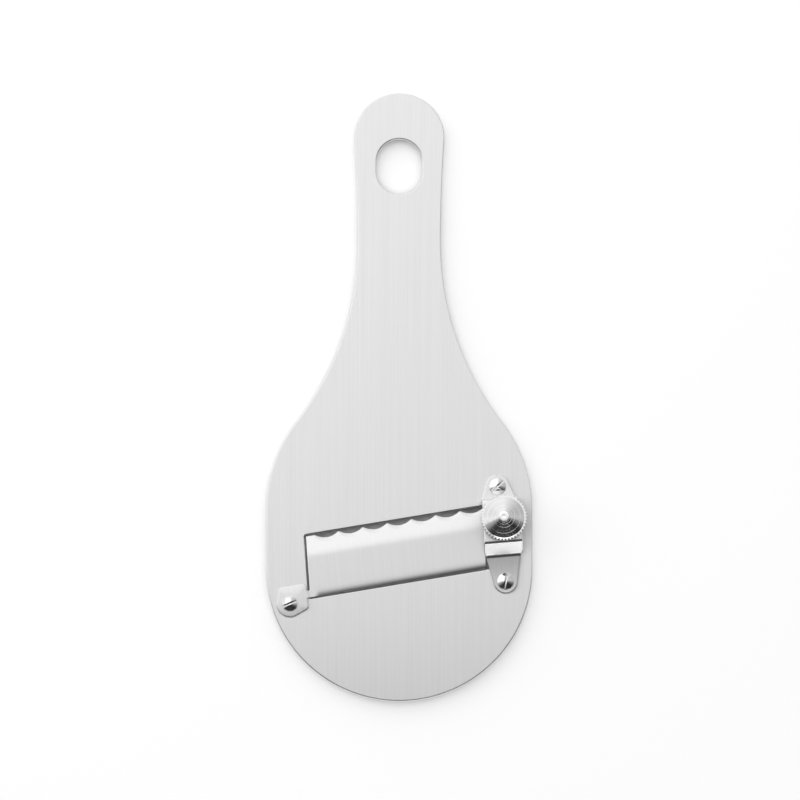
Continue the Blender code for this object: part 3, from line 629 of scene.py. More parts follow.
def cuttingEdge(s):
    # n of the edge: straight, and let in by an arc under each wheel
    rise, under = scallopRise(s)
    arc = bladeShape["edge"] - bladeShape["scallopDepth"] + rise / math.sin(grindSlope)
    return np.where(under, np.minimum(arc, bladeShape["edge"]), bladeShape["edge"])


def bladeHeights(s, n):
    # top and underside over the flat sheet's underside: the sheet, less the bevel, the scallops, the roll and
    # the crease where its neck bends
    shape = bladeShape
    blend = shape["bevelBlend"]
    ahead = n - (shape["edge"] - shape["bevelWidth"])
    bent = np.where(ahead < blend, (np.maximum(ahead + blend, 0)) ** 2 / (4 * blend), ahead)
    top = sheetThickness - bevelRise * bent
    rise, under = scallopRise(s)
    wheel = (shape["edge"] - shape["scallopDepth"] - n) * math.tan(grindSlope) + rise / math.cos(grindSlope)
    wheel = np.where(under, wheel, sheetThickness * 2)
    crease = shape["creaseWidth"]
    gap = top - wheel
    blended = top - (gap + crease) ** 2 / (4 * crease)
    ground = np.where(gap > crease, wheel, np.where(gap < -crease, top, blended))
    along = np.clip(s / bladeRight, 0, 1)
    fullDrop = shape["rollDropLeft"] * (1 - along) + shape["rollDropRight"] * along
    share = np.clip((shape["rollStart"] - n) / (shape["rollStart"] - shape["rollEnd"]), 0, 1)
    roll = fullDrop * smoothStep(s / shape["rollRunIn"] - 1) * share ** shape["rollPower"]
    bend = shape["neckCreaseDepth"] * (1 - np.clip(s / shape["neckCrease"], -1, 1) ** 2)
    return np.maximum(ground, shape["thinnest"]) - roll - bend, -roll


def bladeGrid():
    # columns run along the sheared coordinate s - n lean, so both ends are straight columns; rows run from
    # the trailing edge to the cutting edge, close together on the roll and under the scallops
    shape = bladeShape
    edge, edgeRound, halfLand = shape["edge"], shape["edgeRound"], shape["scallopLand"] / 2
    first, last = bladeLeft + edge * lean, bladeRight + edge * lean
    cusps = shape["firstCusp"] + scallopPitch * np.arange(shape["scallops"] + 1)
    atEdge = np.unique(np.concatenate([
        np.arange(first, last, shape["columnSpacing"]), cusps - halfLand, cusps, cusps + halfLand, [last]]))
    frontN = cuttingEdge(atEdge)
    column = atEdge - frontN * lean
    column[0], column[-1] = bladeLeft, bladeRight
    neck = np.linspace(shape["neckStart"], bladeLeft - shape["neckGap"], shape["neckColumns"])
    ramp = notchStart + np.linspace(0, 1, shape["rampColumns"]) * shape["notchRamp"]
    roundIn, roundDrop = roundedEdge(edgeRound, shape["roundSteps"])
    extra = np.concatenate([ramp, (bladeLeft + roundIn[::-1])[1:-1]])
    bladeColumns = np.concatenate([column, extra])
    bladeFront = np.concatenate([frontN, np.interp(extra, column, frontN)])
    order = np.argsort(bladeColumns)
    column = np.concatenate([neck, bladeColumns[order]])
    front = np.concatenate([np.full(len(neck), shape["neckFront"]), bladeFront[order]])
    inNeck = np.arange(len(column)) < len(neck)
    # trailing edge: straight from the neck to the notch for the bridge's foot
    notched = smoothStep((column - notchStart) / shape["notchRamp"])
    rear = shape["rear"] + (shape["tabRear"] - shape["rear"]) * notched
    inset = rear[:, None] + roundIn[::-1]
    middle = np.where(inNeck, 0.0, shape["rollRowsTo"])
    forward = np.where(inNeck, shape["neckRowsTo"], edge - shape["edgeRowsRun"])
    n = [inset]
    runs = (
        (inset[:, -1], middle, "rollRows", shape["rollRowPower"]),
        (middle, forward, "flatRows", 1),
        (forward, front, "edgeRows", 1),
    )
    for start, end, rows, power in runs:
        share = np.linspace(0, 1, shape[rows])[1:] ** power
        n.append(start[:, None] + (end - start)[:, None] * share)
    n = np.concatenate(n, 1)
    s = column[:, None] + n * lean
    top, under = bladeHeights(s, n)
    # rounds of the trailing edge, of the blade's left end in front of the neck and of the neck's front
    fall = np.zeros_like(n)
    fall[:, :len(roundDrop)] = roundDrop[::-1]
    toLeft = np.clip(edgeRound - (column - bladeLeft), 0, edgeRound)[:, None]
    leftFall = edgeRound - np.sqrt(edgeRound ** 2 - toLeft ** 2)
    leftFall = leftFall * np.clip((n - shape["neckFront"]) / shape["leftRoundRise"], 0, 1)
    neckSide = np.clip(1 - (shape["neckFront"] - n) / edgeRound, 0, 1)
    neckFall = edgeRound * (1 - np.sqrt(1 - neckSide ** 2))
    fall = np.maximum(fall, np.where(inNeck[:, None], neckFall, leftFall))
    fall = np.minimum(fall, (top - under) * shape["fallLimit"])
    plan = bladePoint(s, n)
    return np.dstack([plan, sheetLow + top - fall]), np.dstack([plan, sheetLow + under + fall])


lugShape = {
    # corner circles round the screw: their middles from the screw and their radii
    "cornerPlaces": ((-0.002244, 0.003863), (0.0, 0.0), (0.004335, -0.000742), (0.003822, 0.004899)),
    "cornerRadii": (0.0012, 0.0040, 0.0012, 0.0012),
    "holeRadius": 0.00145,
    "edgeRound": 0.0003,
    "edgeSteps": 8,
    "spacing": 0.0002,
}


def lugShell():
    # ring from the screw hole to the lug's outline, with a rounded edge
    shape = lugShape
    screw = screwPlaces["lug_screw"]
    corners = np.array(shape["cornerPlaces"]) + screw
    loop = fillLoop(bandOutline(corners, shape["cornerRadii"]), shape["spacing"])
    hole = screw + unitWays(loop - screw) * shape["holeRadius"]
    stepIn, drop = roundedEdge(shape["edgeRound"], shape["edgeSteps"])
    edge = loop[:, None] - outwardWays(loop)[:, None] * stepIn[:, None]
    plan = np.concatenate([hole[:, None], edge], 1)
    return ringBetween(plan, np.concatenate([[0], drop]), sheetLow, sheetHigh)


boreShape = {"past": 0.002, "sides": 64}


def makeBoreBar():
    # round bar that cuts the hole in the tab for the stud
    radius = bladeShape["tabHoleRadius"]
    low, high = sheetLow - boreShape["past"], sheetHigh + boreShape["past"]
    profile = np.array([(0, low), (radius, low), (radius, high), (0, high)])
    return addObject("bore_bar", shellMesh("bore_bar", [turnedShell(profile, boreShape["sides"], knobPlace)]))


def applyModifiers(piece):
    # the piece's mesh becomes what its modifiers make of it
    graph = bpy.context.evaluated_depsgraph_get()
    done = bpy.data.meshes.new_from_object(piece.evaluated_get(graph), depsgraph=graph)
    piece.modifiers.clear()
    piece.data = done


# bridge: strap bent up over the blade's tab, with two tapering feet

bridgeShape = {
    "thickness": 0.0010,
    "endRadius": 0.0036,
    "footHalfWidth": 0.0053,
    "frontHalfWidth": 0.0052,
    "halfWidth": 0.00585,
    "sideLean": 0.06,
    "rise": 0.0048,
    "rearFoot": -0.0063,
    "rearShoulder": -0.0026,
    "frontShoulder": 0.0099,
    "frontFoot": 0.0104,
    "bendRadius": 0.0007,
    "rearFootRadius": 0.0022,
    "rearLift": 0.00055,
    "rearSag": 0.0001,
    "frontLift": 0.0001,
    "frontSag": 0.00001,
    "taperLength": 0.0020,
    "edgeRound": 0.00026,
    "edgeSteps": 5,
    "spacing": 0.00012,
    "acrossCount": 24,
    "footPoints": 16,
    "bendPoints": 25,
    "tipPoints": 28,
}
screwHalfSpan = np.linalg.norm(bridgeSpan) / 2


def footRun(tip, joint, sag):
    # points from a foot's tip to its bend, hollow between them: height = straight line - 4 sag t (1 - t),
    # with t the share of the way
    share = np.linspace(0, 1, bridgeShape["footPoints"])
    run = tip + (joint - tip) * share[:, None]
    run[:, 1] -= 4 * sag * share * (1 - share)
    rise = np.gradient(run, axis=0)
    return run, np.arctan2(rise[:, 1], rise[:, 0])


def bridgePath():
    # side view of the strap's middle: straight runs joined by arcs, as places along, heights, slopes and
    # lengths; the feet stand on their ends and curve up a little towards the bends
    shape = bridgeShape
    half = shape["thickness"] / 2
    reach = screwHalfSpan + shape["endRadius"]
    corners = np.array([
        (-reach, half), (shape["rearFoot"], half + shape["rearLift"]),
        (shape["rearShoulder"], half + shape["rise"]), (shape["frontShoulder"], half + shape["rise"]),
        (shape["frontFoot"], half + shape["frontLift"]), (reach, half)])
    ways = np.diff(corners, axis=0)
    slopes = np.arctan2(ways[:, 1], ways[:, 0])
    arcs, turns = [], []
    for number in range(1, len(corners) - 1):
        before, after = slopes[number - 1], slopes[number]
        radius = shape["rearFootRadius"] if number == 1 else shape["bendRadius"]
        trim = radius * math.tan(abs(after - before) / 2)
        side = np.sign(after - before)
        start = corners[number] - trim * np.array([math.cos(before), math.sin(before)])
        centre = start + radius * side * np.array([-math.sin(before), math.cos(before)])
        turn = np.linspace(before, after, shape["bendPoints"])
        arcs.append(centre + radius * side * np.stack([np.sin(turn), -np.cos(turn)], 1))
        turns.append(turn)
    rear, rearSlope = footRun(corners[0], arcs[0][0], shape["rearSag"])
    front, frontSlope = footRun(corners[-1], arcs[-1][-1], shape["frontSag"])
    path = np.concatenate([rear[:-1], *arcs, front[-2::-1]])
    slope = np.concatenate([rearSlope[:-1], *turns, frontSlope[-2::-1] + np.pi])
    slope = np.mod(slope + np.pi, 2 * np.pi) - np.pi
    length = lengthsAlong(path)
    rearMiddle = len(rear) - 1 + shape["bendPoints"] // 2
    return path, slope, length, length[[rearMiddle, rearMiddle + 3 * shape["bendPoints"]]]


def bridgeHalfOutline(length, bends):
    # right half of the flat blank, from the rear tip to the front tip: end circle, tangent side, raised part
    shape = bridgeShape
    rearBend, frontBend = bends
    total = length[-1]
    rearScrew, frontScrew = shape["endRadius"], total - shape["endRadius"]

    def foot(run, halfWidth):
        distance = math.hypot(run, halfWidth)
        taper = math.acos(shape["endRadius"] / distance) - math.atan2(run, halfWidth)
        angle = np.linspace(np.pi / 2, taper, shape["tipPoints"])
        return shape["endRadius"] * np.stack([-np.sin(angle), np.cos(angle)], 1)

    rear = foot(rearBend - rearScrew, shape["footHalfWidth"]) + (rearScrew, 0)
    front = (foot(frontScrew - frontBend, shape["frontHalfWidth"]) * (-1, 1) + (frontScrew, 0))[::-1]
    corners = np.array([
        rear[-1], (rearBend, shape["footHalfWidth"]), (rearBend + shape["taperLength"], shape["halfWidth"]),
        (frontBend, shape["frontHalfWidth"]), front[0]])
    run = lengthsAlong(corners)
    at = np.arange(shape["spacing"], run[-1], shape["spacing"])
    side = np.stack([np.interp(at, run, corners[:, 0]), np.interp(at, run, corners[:, 1])], 1)
    half = np.concatenate([rear, side, front])
    along = np.gradient(half, axis=0)
    along[0], along[-1] = (0, 1), (0, -1)
    return half, unitWays(np.stack([-along[:, 1], along[:, 0]], 1))


def bridgeShell():
    # the blank's cross rows run from one side to the other, with rounded edges, then the blank is bent:
    # place = path(length) + height x normal(length), moved aside by a small share of the path's height
    shape = bridgeShape
    path, slope, length, bends = bridgePath()
    half, ways = bridgeHalfOutline(length, bends)
    stepIn, drop = roundedEdge(shape["edgeRound"], shape["edgeSteps"])
    side = half[:, None] - ways[:, None] * stepIn[None, :, None]
    inner = side[:, :1]
    share = np.linspace(-1, 1, shape["acrossCount"])[None, 1:-1, None]
    across = np.concatenate([inner[..., :1].repeat(share.shape[1], 1), inner[..., 1:] * share], -1)
    left = side[:, ::-1] * (1, -1)
    flat = np.concatenate([left, across, side], 1)
    fall = np.concatenate([drop[::-1], np.zeros(share.shape[1]), drop])
    halfThick = shape["thickness"] / 2
    along, up, tilt = [np.interp(flat[..., 0], length, values) for values in (path[:, 0], path[:, 1], slope)]
    aside = flat[..., 1] + shape["sideLean"] * (up - halfThick)
    grids = []
    for level in (halfThick - fall, fall - halfThick):
        run = along - level * np.sin(tilt)
        plan = bridgeMiddle + run[..., None] * bridgeWay + aside[..., None] * bridgeSide
        grids.append(np.dstack([plan, bridgeLow[2] + (up + level * np.cos(tilt))]))
    return sheetShell(*grids)


bridge = makePiece("bridge_strap", [bridgeShell()], bridgeSteel, "slicer_body", ["bridge"])
flatFacesFirst(bridge)
print("bridge made:", len(bridge.data.polygons), "faces")

footCorner = bridgeMiddle + bridgeShape["rearFoot"] * bridgeWay - bridgeShape["footHalfWidth"] * bridgeSide
notchStart = bladePlace(footCorner)[0] - bladeShape["notchGap"] + bladeShape["rear"] * lean
stamping = makePiece("blade_stamping", [sheetShell(*bladeGrid())], bladeSteel, None,
                     ["blade", "blade_lug"])
lugPart = makePiece("lug_part", [lugShell()], bladeSteel, None, ["blade_lug"])
boreBar = makeBoreBar()
for tool, operation in ((boreBar, "DIFFERENCE"), (lugPart, "UNION")):
    step = stamping.modifiers.new(operation, "BOOLEAN")
    step.operation = operation
    step.object = tool
    step.solver = "EXACT"
applyModifiers(stamping)
for tool in (boreBar, lugPart):
    bpy.data.objects.remove(tool, do_unlink=True)
shadeSharp(stamping.data, bladeShape["sharpAngle"])
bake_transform(stamping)
flatFacesFirst(stamping)
print("blade made:", len(stamping.data.polygons), "faces")


# knob: hub, knurled rim and ringed cone

knobShape = {
    "bore": 0.00152,
    "radius": 0.00695,
    "hubRadius": 0.0034,
    "hubHeight": 0.0005,
    "lowChamfer": 0.0003,
    "ringDrop": 0.00084,
    "ringRound": 0.00003,
    "coneFoot": 0.00615,
    "coneSlope": math.radians(40),
    "topRadius": 0.00162,
    "topHeight": 0.0077,
    "grooveRadii": (0.00495, 0.0033, 0.0024, 0.00186),
    "grooveWidth": 0.00016,
    "grooveDepth": 0.00003,
    "turningPitch": 0.00042,
    "turningDepth": 0.0000012,
    "coneRows": 110,
    "grooveRows": 13,
    "ringRows": 12,
    "roundSteps": 5,
    "crownEdge": 0.00006,
    "crownRise": 0.00002,
    "teeth": 42,
    "toothDepth": 0.00055,
    "toothPower": 2,
    "sidesPerTooth": 10,
}


def knobProfile():
    # (radius, height) from the bore out under the rim, up it, over its sloping ring and up the cone, whose
    # face carries fine grooves and a turning ripple: inset = depth (1 + cos) / 2 across each groove,
    # ripple = depth sin(2 pi t / pitch)
    shape = knobShape
    rim, bore, hub, low = shape["radius"], shape["bore"], shape["hubHeight"], shape["lowChamfer"]
    coneWidth = shape["coneFoot"] - shape["topRadius"]
    coneHeight = coneWidth * math.tan(shape["coneSlope"])
    coneBase = shape["topHeight"] - coneHeight
    wallTop = coneBase - shape["ringDrop"]
    ringRound = shape["ringRound"]
    foot = np.array([(bore, 0), (shape["hubRadius"], 0), (shape["hubRadius"], hub), (rim - low, hub)])
    lowIn, lowDrop = roundedEdge(low, shape["roundSteps"])
    lowRound = np.stack([rim - lowIn, hub + lowDrop], 1)[1:]
    highDrop, highIn = roundedEdge(ringRound, shape["roundSteps"])
    highRound = np.stack([rim - highIn, wallTop - highDrop], 1)
    ring = np.linspace((rim - ringRound, wallTop), (shape["coneFoot"], coneBase), shape["ringRows"])[1:]
    reach = shape["grooveWidth"] / coneWidth / 2
    share = [np.linspace(0, 1, shape["coneRows"])]
    for groove in shape["grooveRadii"]:
        middle = (shape["coneFoot"] - groove) / coneWidth
        share.append(np.linspace(middle - reach, middle + reach, shape["grooveRows"]))
    share = np.unique(np.concatenate(share))
    radius = shape["coneFoot"] - coneWidth * share
    height = coneBase + coneHeight * share
    turned = share * math.hypot(coneWidth, coneHeight) / shape["turningPitch"]
    inset = shape["turningDepth"] * np.sin(2 * np.pi * turned)
    for groove in shape["grooveRadii"]:
        off = np.clip((radius - groove) / shape["grooveWidth"] * 2, -1, 1)
        inset = inset + shape["grooveDepth"] * (1 + np.cos(np.pi * off)) / 2
    sideWay = np.array([math.sin(shape["coneSlope"]), math.cos(shape["coneSlope"])])
    cone = (np.stack([radius, height], 1) - inset[:, None] * sideWay)[1:]
    top = shape["topHeight"] + shape["crownRise"]
    crown = np.array([(shape["topRadius"] - shape["crownEdge"], top), (bore, top)])
    return np.concatenate([foot, lowRound, highRound, ring, cone, crown]) + (0, knobPlace[2])


def knurlReach(angle, radius, height):
    # a cutter's outline, rim radius - depth (1 - |sin|^power), goes down through everything outside it
    shape = knobShape
    tooth = np.abs(np.sin(angle * shape["teeth"] / 2)) ** shape["toothPower"]
    outline = shape["radius"] - shape["toothDepth"] * (1 - tooth)
    return np.minimum(radius, outline)


knobSides = knobShape["teeth"] * knobShape["sidesPerTooth"]
knob = makePiece(
    "knurled_knob", [turnedShell(knobProfile(), knobSides, knobPlace, knurlReach, closed=True)],
    turnedSteel, "adjuster", ["knob"], sharpAngle=28)
print("knob made:", len(knob.data.polygons), "faces")


# threads, stud, washer, lift nut and spring

threadForm = {"stepsPerPitch": 8, "flank": 2.6, "crest": 0.15, "sides": 48, "sunk": 0.0001}


def threadShell(shape, low, high, centre):
    # rod whose radius falls by the depth in a V that climbs one pitch a turn, ridge = flank |phase - 1/2| -
    # crest, cut back by a chamfer at both ends; its upper end is sunk in what it stands in
    high = high + threadForm["sunk"]
    full, chamfer, pitch = shape["shankRadius"], shape["tipChamfer"], shape["pitch"]
    steps = int((high - low) / pitch * threadForm["stepsPerPitch"])
    height = np.linspace(low, high, steps)
    profile = np.concatenate([[(0, low)], np.stack([np.full(steps, full), height], 1), [(0, high)]])

    def reach(angle, own, at):
        phase = np.mod(at / pitch - angle / (2 * np.pi), 1)
        ridge = np.clip(np.abs(phase - 0.5) * threadForm["flank"] - threadForm["crest"], 0, 1)
        limit = full - np.clip(chamfer - np.minimum(at - low, high - at), 0, chamfer)
        return np.where(own > 0, np.minimum(full - shape["threadDepth"] * (1 - ridge), limit), 0)

    return turnedShell(profile, threadForm["sides"], centre, reach)


studShape = {
    "shankRadius": 0.0015,
    "pitch": 0.0005,
    "threadDepth": 0.00026,
    "tipChamfer": 0.0002,
    "headLength": 0.0030,
    "headRound": 0.00012,
    "centreMark": 0.00034,
    "markDepth": 0.00003,
    "markBend": (0.5, 0.7),
    "roundSteps": 6,
    "sides": 64,
}


def studShells():
    # threaded rod up to inside the knob, and above it the plain end with a rounded rim and a centre mark
    shape = studShape
    low, high = frameBox("adjusting_screw")
    joint = high[2] - shape["headLength"]
    rod = threadShell(shape, low[2], joint, knobPlace)
    drop, inset = roundedEdge(shape["headRound"], shape["roundSteps"])
    rim = np.stack([shape["shankRadius"] - inset, high[2] - drop], 1)
    mark, depth = shape["centreMark"], shape["markDepth"]
    inShare, downShare = shape["markBend"]
    end = np.concatenate([
        [(0, joint), (shape["shankRadius"], joint)], rim,
        [(mark, high[2]), (mark * inShare, high[2] - depth * downShare), (0, high[2] - depth)]])
    return [rod, turnedShell(end, shape["sides"], knobPlace)]


makePiece("adjusting_stud", studShells(), turnedSteel, "adjuster", ["adjusting_screw"])

washerLow, washerHigh = frameBox("thrust_washer")
washerRadius = (washerHigh[0] - washerLow[0]) / 2
washerShape = {"bore": 0.0017, "edgeRound": 0.00008, "sides": 96}
washerBore, washerRound = washerShape["bore"], washerShape["edgeRound"]
washerProfile = np.array([
    (washerBore, washerLow[2]), (washerRadius - washerRound, washerLow[2]),
    (washerRadius, washerLow[2] + washerRound), (washerRadius, washerHigh[2] - washerRound),
    (washerRadius - washerRound, washerHigh[2]), (washerBore, washerHigh[2])])
makePiece("washer_flat", [turnedShell(washerProfile, washerShape["sides"], knobPlace, closed=True)],
          fastenerSteel, "slicer_body", ["thrust_washer"])

edgeTurn = math.atan2(edgeWay[1], edgeWay[0])
liftNutShape = {
    "bore": 0.00155,
    "width": 0.0055,
    "cornerRadius": 0.0006,
    "crownRadius": 0.0069,
    "edgeRound": 0.0001,
    "turn": edgeTurn - endSlope,
    "sides": 160,
    "rows": 8,
    "edgeSteps": 3,
}


def squareReach(angle):
    # distance from the middle to the lift nut's square with rounded corners, at each angle: half width / cos
    # of the angle from the side's middle, and past the side's straight part out to the corner's circle
    half, corner = liftNutShape["width"] / 2, liftNutShape["cornerRadius"]
    fromSide = np.abs(np.mod(angle - liftNutShape["turn"] + np.pi / 4, np.pi / 2) - np.pi / 4)
    fromCorner = np.pi / 4 - fromSide
    away = (half - corner) * math.sqrt(2)
    chord = np.sqrt(np.maximum(corner ** 2 - (away * np.sin(fromCorner)) ** 2, 0))
    straight = half * np.tan(fromSide) < half - corner
    return np.where(straight, half / np.cos(fromSide), away * np.cos(fromCorner) + chord)


def liftNutShell():
    # ring from the bore to the square's side, its top on a sphere: height = top - (R - sqrt(R^2 - r^2))
    shape = liftNutShape
    low, high = frameBox("lift_nut")
    bore, crown, rows = shape["bore"], shape["crownRadius"], shape["rows"]
    angle, way = roundWays(shape["sides"])
    outer = squareReach(angle)
    stepIn, drop = roundedEdge(shape["edgeRound"], shape["edgeSteps"])
    inner = bore + (outer - stepIn[0] - bore) * np.linspace(0, 1, rows)[:, None]
    radius = np.concatenate([inner, outer - stepIn[1:, None]]).T
    fall = np.concatenate([np.zeros(rows), drop[1:]])
    top = high[2] + (crown - math.sqrt(crown ** 2 - bore ** 2))
    height = top - (crown - np.sqrt(crown ** 2 - radius ** 2)) - fall
    plan = knobPlace[:2] + radius[..., None] * way[:, None]
    return sheetShell(np.dstack([plan, height]), np.dstack([plan, low[2] + fall + 0 * radius]), wrap=True)


makePiece("square_lift_nut", [liftNutShell()], fastenerSteel, "climbing_nut", ["lift_nut"])

springShape = {
    "wireRadius": 0.0002,
    "coilRadius": 0.00215,
    "turns": 5,
    "closedTurn": 0.8,
    "steps": 48,
    "around": 14,
    "keptLength": 0.5,
}


def springShell():
    # tube round a helix: height climbs by one wire a turn in the closed ends and evenly between them
    shape = springShape
    low, high = frameBox("return_spring")
    wire, turns, closed = shape["wireRadius"], shape["turns"], shape["closedTurn"]
    turn = np.linspace(0, turns, turns * shape["steps"] + 1)
    shut, climb = 2 * wire * closed, high[2] - low[2] - 2 * wire
    height = np.interp(turn, [0, closed, turns - closed, turns], [0, shut, climb - shut, climb])
    angle = 2 * np.pi * turn
    out = np.stack([np.cos(angle), np.sin(angle), 0 * angle], 1)
    centre = np.array([*knobPlace[:2], low[2] + wire]) + shape["coilRadius"] * out
    centre[:, 2] += height
    outShare, upShare = roundWays(shape["around"])[1].T[..., None]
    tube = centre[:, None] + wire * (outShare * out[:, None] + upShare * np.array([0, 0, 1]))
    tube = np.concatenate([tube[:1] * 0 + centre[0], tube, tube[:1] * 0 + centre[-1]])
    tube = np.concatenate([tube, tube[:, :1]], 1)
    return tube.reshape(-1, 3), gridFaces(*tube.shape[:2])


spring = makePiece(
    "coil_spring", [springShell()], springSteel, "slicer_body", ["return_spring"])
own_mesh(spring)
print("stud, washer, lift nut and spring made")


# screws and nuts

screwShape = {
    "shankRadius": 0.00125,
    "pitch": 0.00045,
    "threadDepth": 0.00022,
    "tipChamfer": 0.0002,
    "headHeight": 0.0015,
    "headSide": 0.0005,
    "rimRound": 0.00018,
    "domePower": 1.6,
    "slotWidth": 0.0001,
    "slotDepth": 0.0006,
    "slotEdge": 0.00036,
    "slotEdgeSlope": math.radians(36),
    "slotWall": 0.00003,
    "underHeadShare": 0.9,
    "rimSteps": 5,
    "rows": 30,
    "columns": 49,
    "slotAngles": {"lug_screw": 22.8, "front_bridge_screw": 41, "rear_bridge_screw": 79},
}


def screwShells(name):
    # head: chords along the slot, their height the lower of the dome and the slot's floor and walls; its rim
    # is carried down a rounded side to the seat. Shank: a thread
    shape = screwShape
    low, high = frameBox(name)
    radius = (high[0] - low[0]) / 2
    seat = high[2] - shape["headHeight"]
    domeHeight = shape["headHeight"] - shape["headSide"]
    half, slotEdge, slotWall = shape["slotWidth"] / 2, shape["slotEdge"], shape["slotWall"]
    rimIn, mouth = radius - shape["rimRound"], half + slotEdge
    near = np.array([0, half / 2, half - slotWall, half, half + slotEdge / 2, mouth])
    far = mouth + (rimIn - mouth) * np.sin(np.linspace(0, np.pi / 2, shape["rows"]))[1:]
    aside = np.concatenate([near, far])
    aside = np.concatenate([-aside[:0:-1], aside])[:, None]
    along = np.sin(np.linspace(-np.pi / 2, np.pi / 2, shape["columns"]))
    x = along * np.sqrt(np.maximum(rimIn ** 2 - aside ** 2, 0))
    y = np.broadcast_to(aside, x.shape)
    dome = high[2] - domeHeight * (np.hypot(x, y) / radius) ** shape["domePower"]
    chamfer = np.clip(mouth - np.abs(y), 0, slotEdge) * math.tan(shape["slotEdgeSlope"])
    wall = high[2] - shape["slotDepth"] + np.clip((np.abs(y) - half) / slotWall + 1, 0, 1)
    angle = math.radians(shape["slotAngles"][name])
    turn = np.array([[math.cos(angle), math.sin(angle)], [-math.sin(angle), math.cos(angle)]])
    middle = screwPlaces[name]
    cap = np.dstack([np.stack([x, y], -1) @ turn + middle, np.minimum(dome - chamfer, wall)])
    rim = np.concatenate([cap[:, -1], cap[::-1, 0]])
    way = unitWays(rim[:, :2] - middle)
    bend = np.linspace(0, np.pi / 2, shape["rimSteps"] + 1)[1:]
    domeEdge = dome[0, 0]
    rimDrop = domeEdge - (seat + shape["headSide"] - shape["rimRound"])
    inner = shape["shankRadius"] * shape["underHeadShare"]
    reach = np.concatenate([[rimIn], rimIn + shape["rimRound"] * np.sin(bend), [radius, inner]])
    height = np.concatenate([[0], -rimDrop * (1 - np.cos(bend)), [seat - domeEdge, seat - domeEdge]])
    side = np.dstack([middle + reach[:, None] * way[:, None], rim[:, 2:] + height])
    head = (cap.reshape(-1, 3), gridFaces(*cap.shape[:2]))
    skirt = (side.reshape(-1, 3), gridFaces(*side.shape[:2], True))
    return [head, skirt, threadShell(shape, low[2], seat, middle)]


nutShape = {
    "bore": 0.0013,
    "boreChamfer": 0.00015,
    "boreDrop": 0.00012,
    "acrossFlats": 0.0050,
    "chamferShare": 0.96,
    "chamferSlope": math.radians(28),
    "sides": 192,
}


def hexNutShells(name, turn):
    # ring whose outer radius is a hexagon's, with both ends cut back by a cone outside the chamfer circle
    shape = nutShape
    low, high = frameBox(name)
    half, sides = shape["acrossFlats"] / 2, shape["sides"]
    angle, way = roundWays(sides)
    hexagon = half / np.cos(np.mod(angle - turn + np.pi / 6, np.pi / 3) - np.pi / 6)
    circle = half * shape["chamferShare"]
    radius = np.full((sides, 4), [shape["bore"], shape["bore"] + shape["boreChamfer"], circle, 0])
    fall = np.full((sides, 4), [shape["boreDrop"], 0, 0, 0])
    radius[:, 3] = hexagon
    fall[:, 3] = (hexagon - circle) * math.tan(shape["chamferSlope"])
    plan = (low + high)[:2] / 2 + radius[..., None] * way[:, None]
    return [ringBetween(plan, fall, low[2], high[2])]


bridgeTurn = math.atan2(-bridgeWay[0], bridgeWay[1])
for screwName in screwPlaces:
    nutName = screwName.replace("screw", "nut")
    nutTurn = edgeTurn if screwName == "lug_screw" else bridgeTurn
    makePiece(screwName + "_slotted", screwShells(screwName), fastenerSteel, "slicer_body", [screwName],
              sharpAngle=30)
    makePiece(nutName + "_hexagon", hexNutShells(nutName, nutTurn), fastenerSteel, "slicer_body", [nutName],
              sharpAngle=20)
print("screws and nuts made")


# floor, light and camera

studio = {
    "floorSize": 6,
    "floorTone": 0.8,
    "floorGlow": 0.54,
    # reach and range of the ambient occlusion that paints shade into the floor's glow in gaps and under the
    # object
    "glowReach": 0.015,
    "glowFrom": 0.25,
    "glowTo": 0.6,
    "darkWay": (0.0808, -0.9236, 0.3746),
    "darkStops": (
        (-1, 1.0), (-0.7, 0.92), (-0.4, 0.84), (-0.15, 0.85), (0, 0.93), (0.17, 0.9), (0.33, 0.46),
        (0.5, 0.26), (0.574, 0.14), (0.643, 0.068), (1, 0.047)),
    "rightShare": 0.55,
    "rightFull": 0.9,
    "rightLow": {"level": 0.62, "from": 0.2, "to": 0.4},
    "lowBand": {"halfWidth": 0.15, "edge": 0.04, "fromFront": 0.75, "frontEdge": 0.1, "level": 2.2},
    "softbox": {"middle": (-0.315, 0.42, 0.46), "size": (0.87, 0.97), "level": 1.2},
}


def floorMaterial():
    # white floor whose shadow is partly real, from a diffuse share, and partly painted: a plain white share
    # for the rays that see it
    #  is dimmed by ambient occlusion in gaps and under the object, which is painted shade
    white = bpy.data.materials.new("white studio floor")
    white.use_nodes = True
    tree = white.node_tree
    tree.nodes.clear()
    rays = addNode(tree, "LightPath").outputs
    seen = numberMath(tree, "MAXIMUM", rays["Is Camera Ray"], rays["Is Glossy Ray"])
    seen = numberMath(tree, "MAXIMUM", seen, rays["Is Transmission Ray"])
    # painted shade: ambient occlusion dims the floor's white glow in gaps and under the object
    openSky = addNode(tree, "AmbientOcclusion", {"Distance": studio["glowReach"]}, samples=8).outputs["AO"]
    openShare = mapRange(tree, openSky, (studio["glowFrom"], studio["glowTo"]), (0, 1))
    level = numberMath(tree, "MULTIPLY", seen, studio["floorGlow"])
    glow = addNode(tree, "Emission", {"Strength": numberMath(tree, "MULTIPLY", level, openShare)})
    matt = addNode(tree, "BsdfDiffuse", {"Color": (studio["floorTone"],) * 3 + (1,)})
    both = addNode(tree, "AddShader", {0: matt.outputs[0], 1: glow.outputs[0]})
    addNode(tree, "OutputMaterial", {"Surface": both.outputs[0]})
    return white


def makeFloor():
    # flat square at the height of the screw tips
    half = studio["floorSize"] / 2
    corners = [(-half, -half, 0), (half, -half, 0), (half, half, 0), (-half, half, 0)]
    mesh = bpy.data.meshes.new("floor")
    mesh.from_pydata(corners, [], [(0, 1, 2, 3)])
    mesh.materials.append(floorMaterial())
    addObject("floor", mesh)


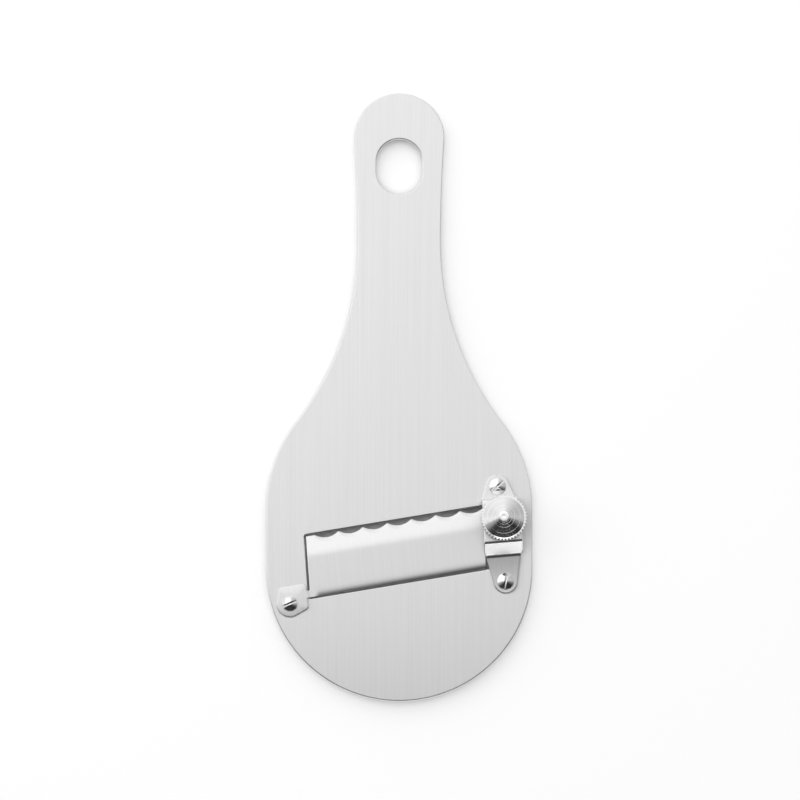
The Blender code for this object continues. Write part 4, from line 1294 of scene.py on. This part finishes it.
def frontLevel(tree, front):
    # light of the sky by the cosine of the angle from the dark way, on a curve through the stops
    node = addNode(tree, "FloatCurve", {"Value": numberMath(tree, "MULTIPLY_ADD", front, 0.5, 0.5)})
    points = node.mapping.curves[0].points
    spots = [((cosine + 1) / 2, light) for cosine, light in studio["darkStops"]]
    points[0].location, points[-1].location = spots[0], spots[-1]
    for spot in spots[1:-1]:
        points.new(*spot)
    node.mapping.update()
    return node.outputs[0]


def makeSky():
    # studio round the object: dark round one way in front, darker high up on the right, and a low bright band
    world = bpy.data.worlds.new("studio")
    world.use_nodes = True
    bpy.context.scene.world = world
    tree = world.node_tree
    way = addNode(tree, "TexCoord").outputs["Generated"]
    parts = addNode(tree, "SeparateXYZ", {0: way}).outputs
    front = vectorMath(tree, "DOT_PRODUCT", way, studio["darkWay"], output="Value")
    low, band = studio["rightLow"], studio["lowBand"]
    side = mapRange(tree, parts["X"], (0, studio["rightFull"]), (1, studio["rightShare"]))
    lift = mapRange(tree, parts["Z"], (low["from"], low["to"]), (low["level"], 0))
    shaded = numberMath(tree, "MULTIPLY", frontLevel(tree, front), numberMath(tree, "MAXIMUM", side, lift))
    middle, reach = band["halfWidth"], band["edge"] / 2
    height = numberMath(tree, "ABSOLUTE", parts["Z"])
    inside = mapRange(tree, height, (middle + reach, middle - reach), (0, band["level"]), "SMOOTHSTEP")
    ends = (band["fromFront"], band["fromFront"] + band["frontEdge"])
    strip = numberMath(tree, "MULTIPLY", inside, mapRange(tree, front, ends, (0, 1), "SMOOTHSTEP"))
    level = numberMath(tree, "MAXIMUM", shaded, strip)
    feed(tree, tree.nodes["Background"], {"Color": (1, 1, 1, 1), "Strength": level})


def makeSoftbox():
    # large soft light close above and behind the object; its power is the level times its area
    box = studio["softbox"]
    data = bpy.data.lights.new("softbox", "AREA")
    data.shape = "RECTANGLE"
    width, length = box["size"]
    data.size, data.size_y = width, length
    data.energy = box["level"] * width * length
    light = addObject("softbox", data)
    light.location = box["middle"]
    light.visible_camera = False


def makeCamera():
    # high above, a little to the front, with a long lens
    view = {"target": (0.0002, -0.0013, 0.004), "distance": 2.0, "tilt": 6.0, "lens": 299.3, "sensor": 36}
    data = bpy.data.cameras.new("camera")
    data.lens = view["lens"]
    data.sensor_width = view["sensor"]
    camera = addObject("camera", data)
    tilt = math.radians(view["tilt"])
    x, y, z = view["target"]
    camera.location = (x, y - view["distance"] * math.sin(tilt), z + view["distance"] * math.cos(tilt))
    camera.rotation_euler = (tilt, 0, 0)
    bpy.context.scene.camera = camera


makeFloor()
makeSky()
makeSoftbox()
makeCamera()
bpy.context.scene.view_settings.view_transform = "Standard"
print("floor, light and camera made")
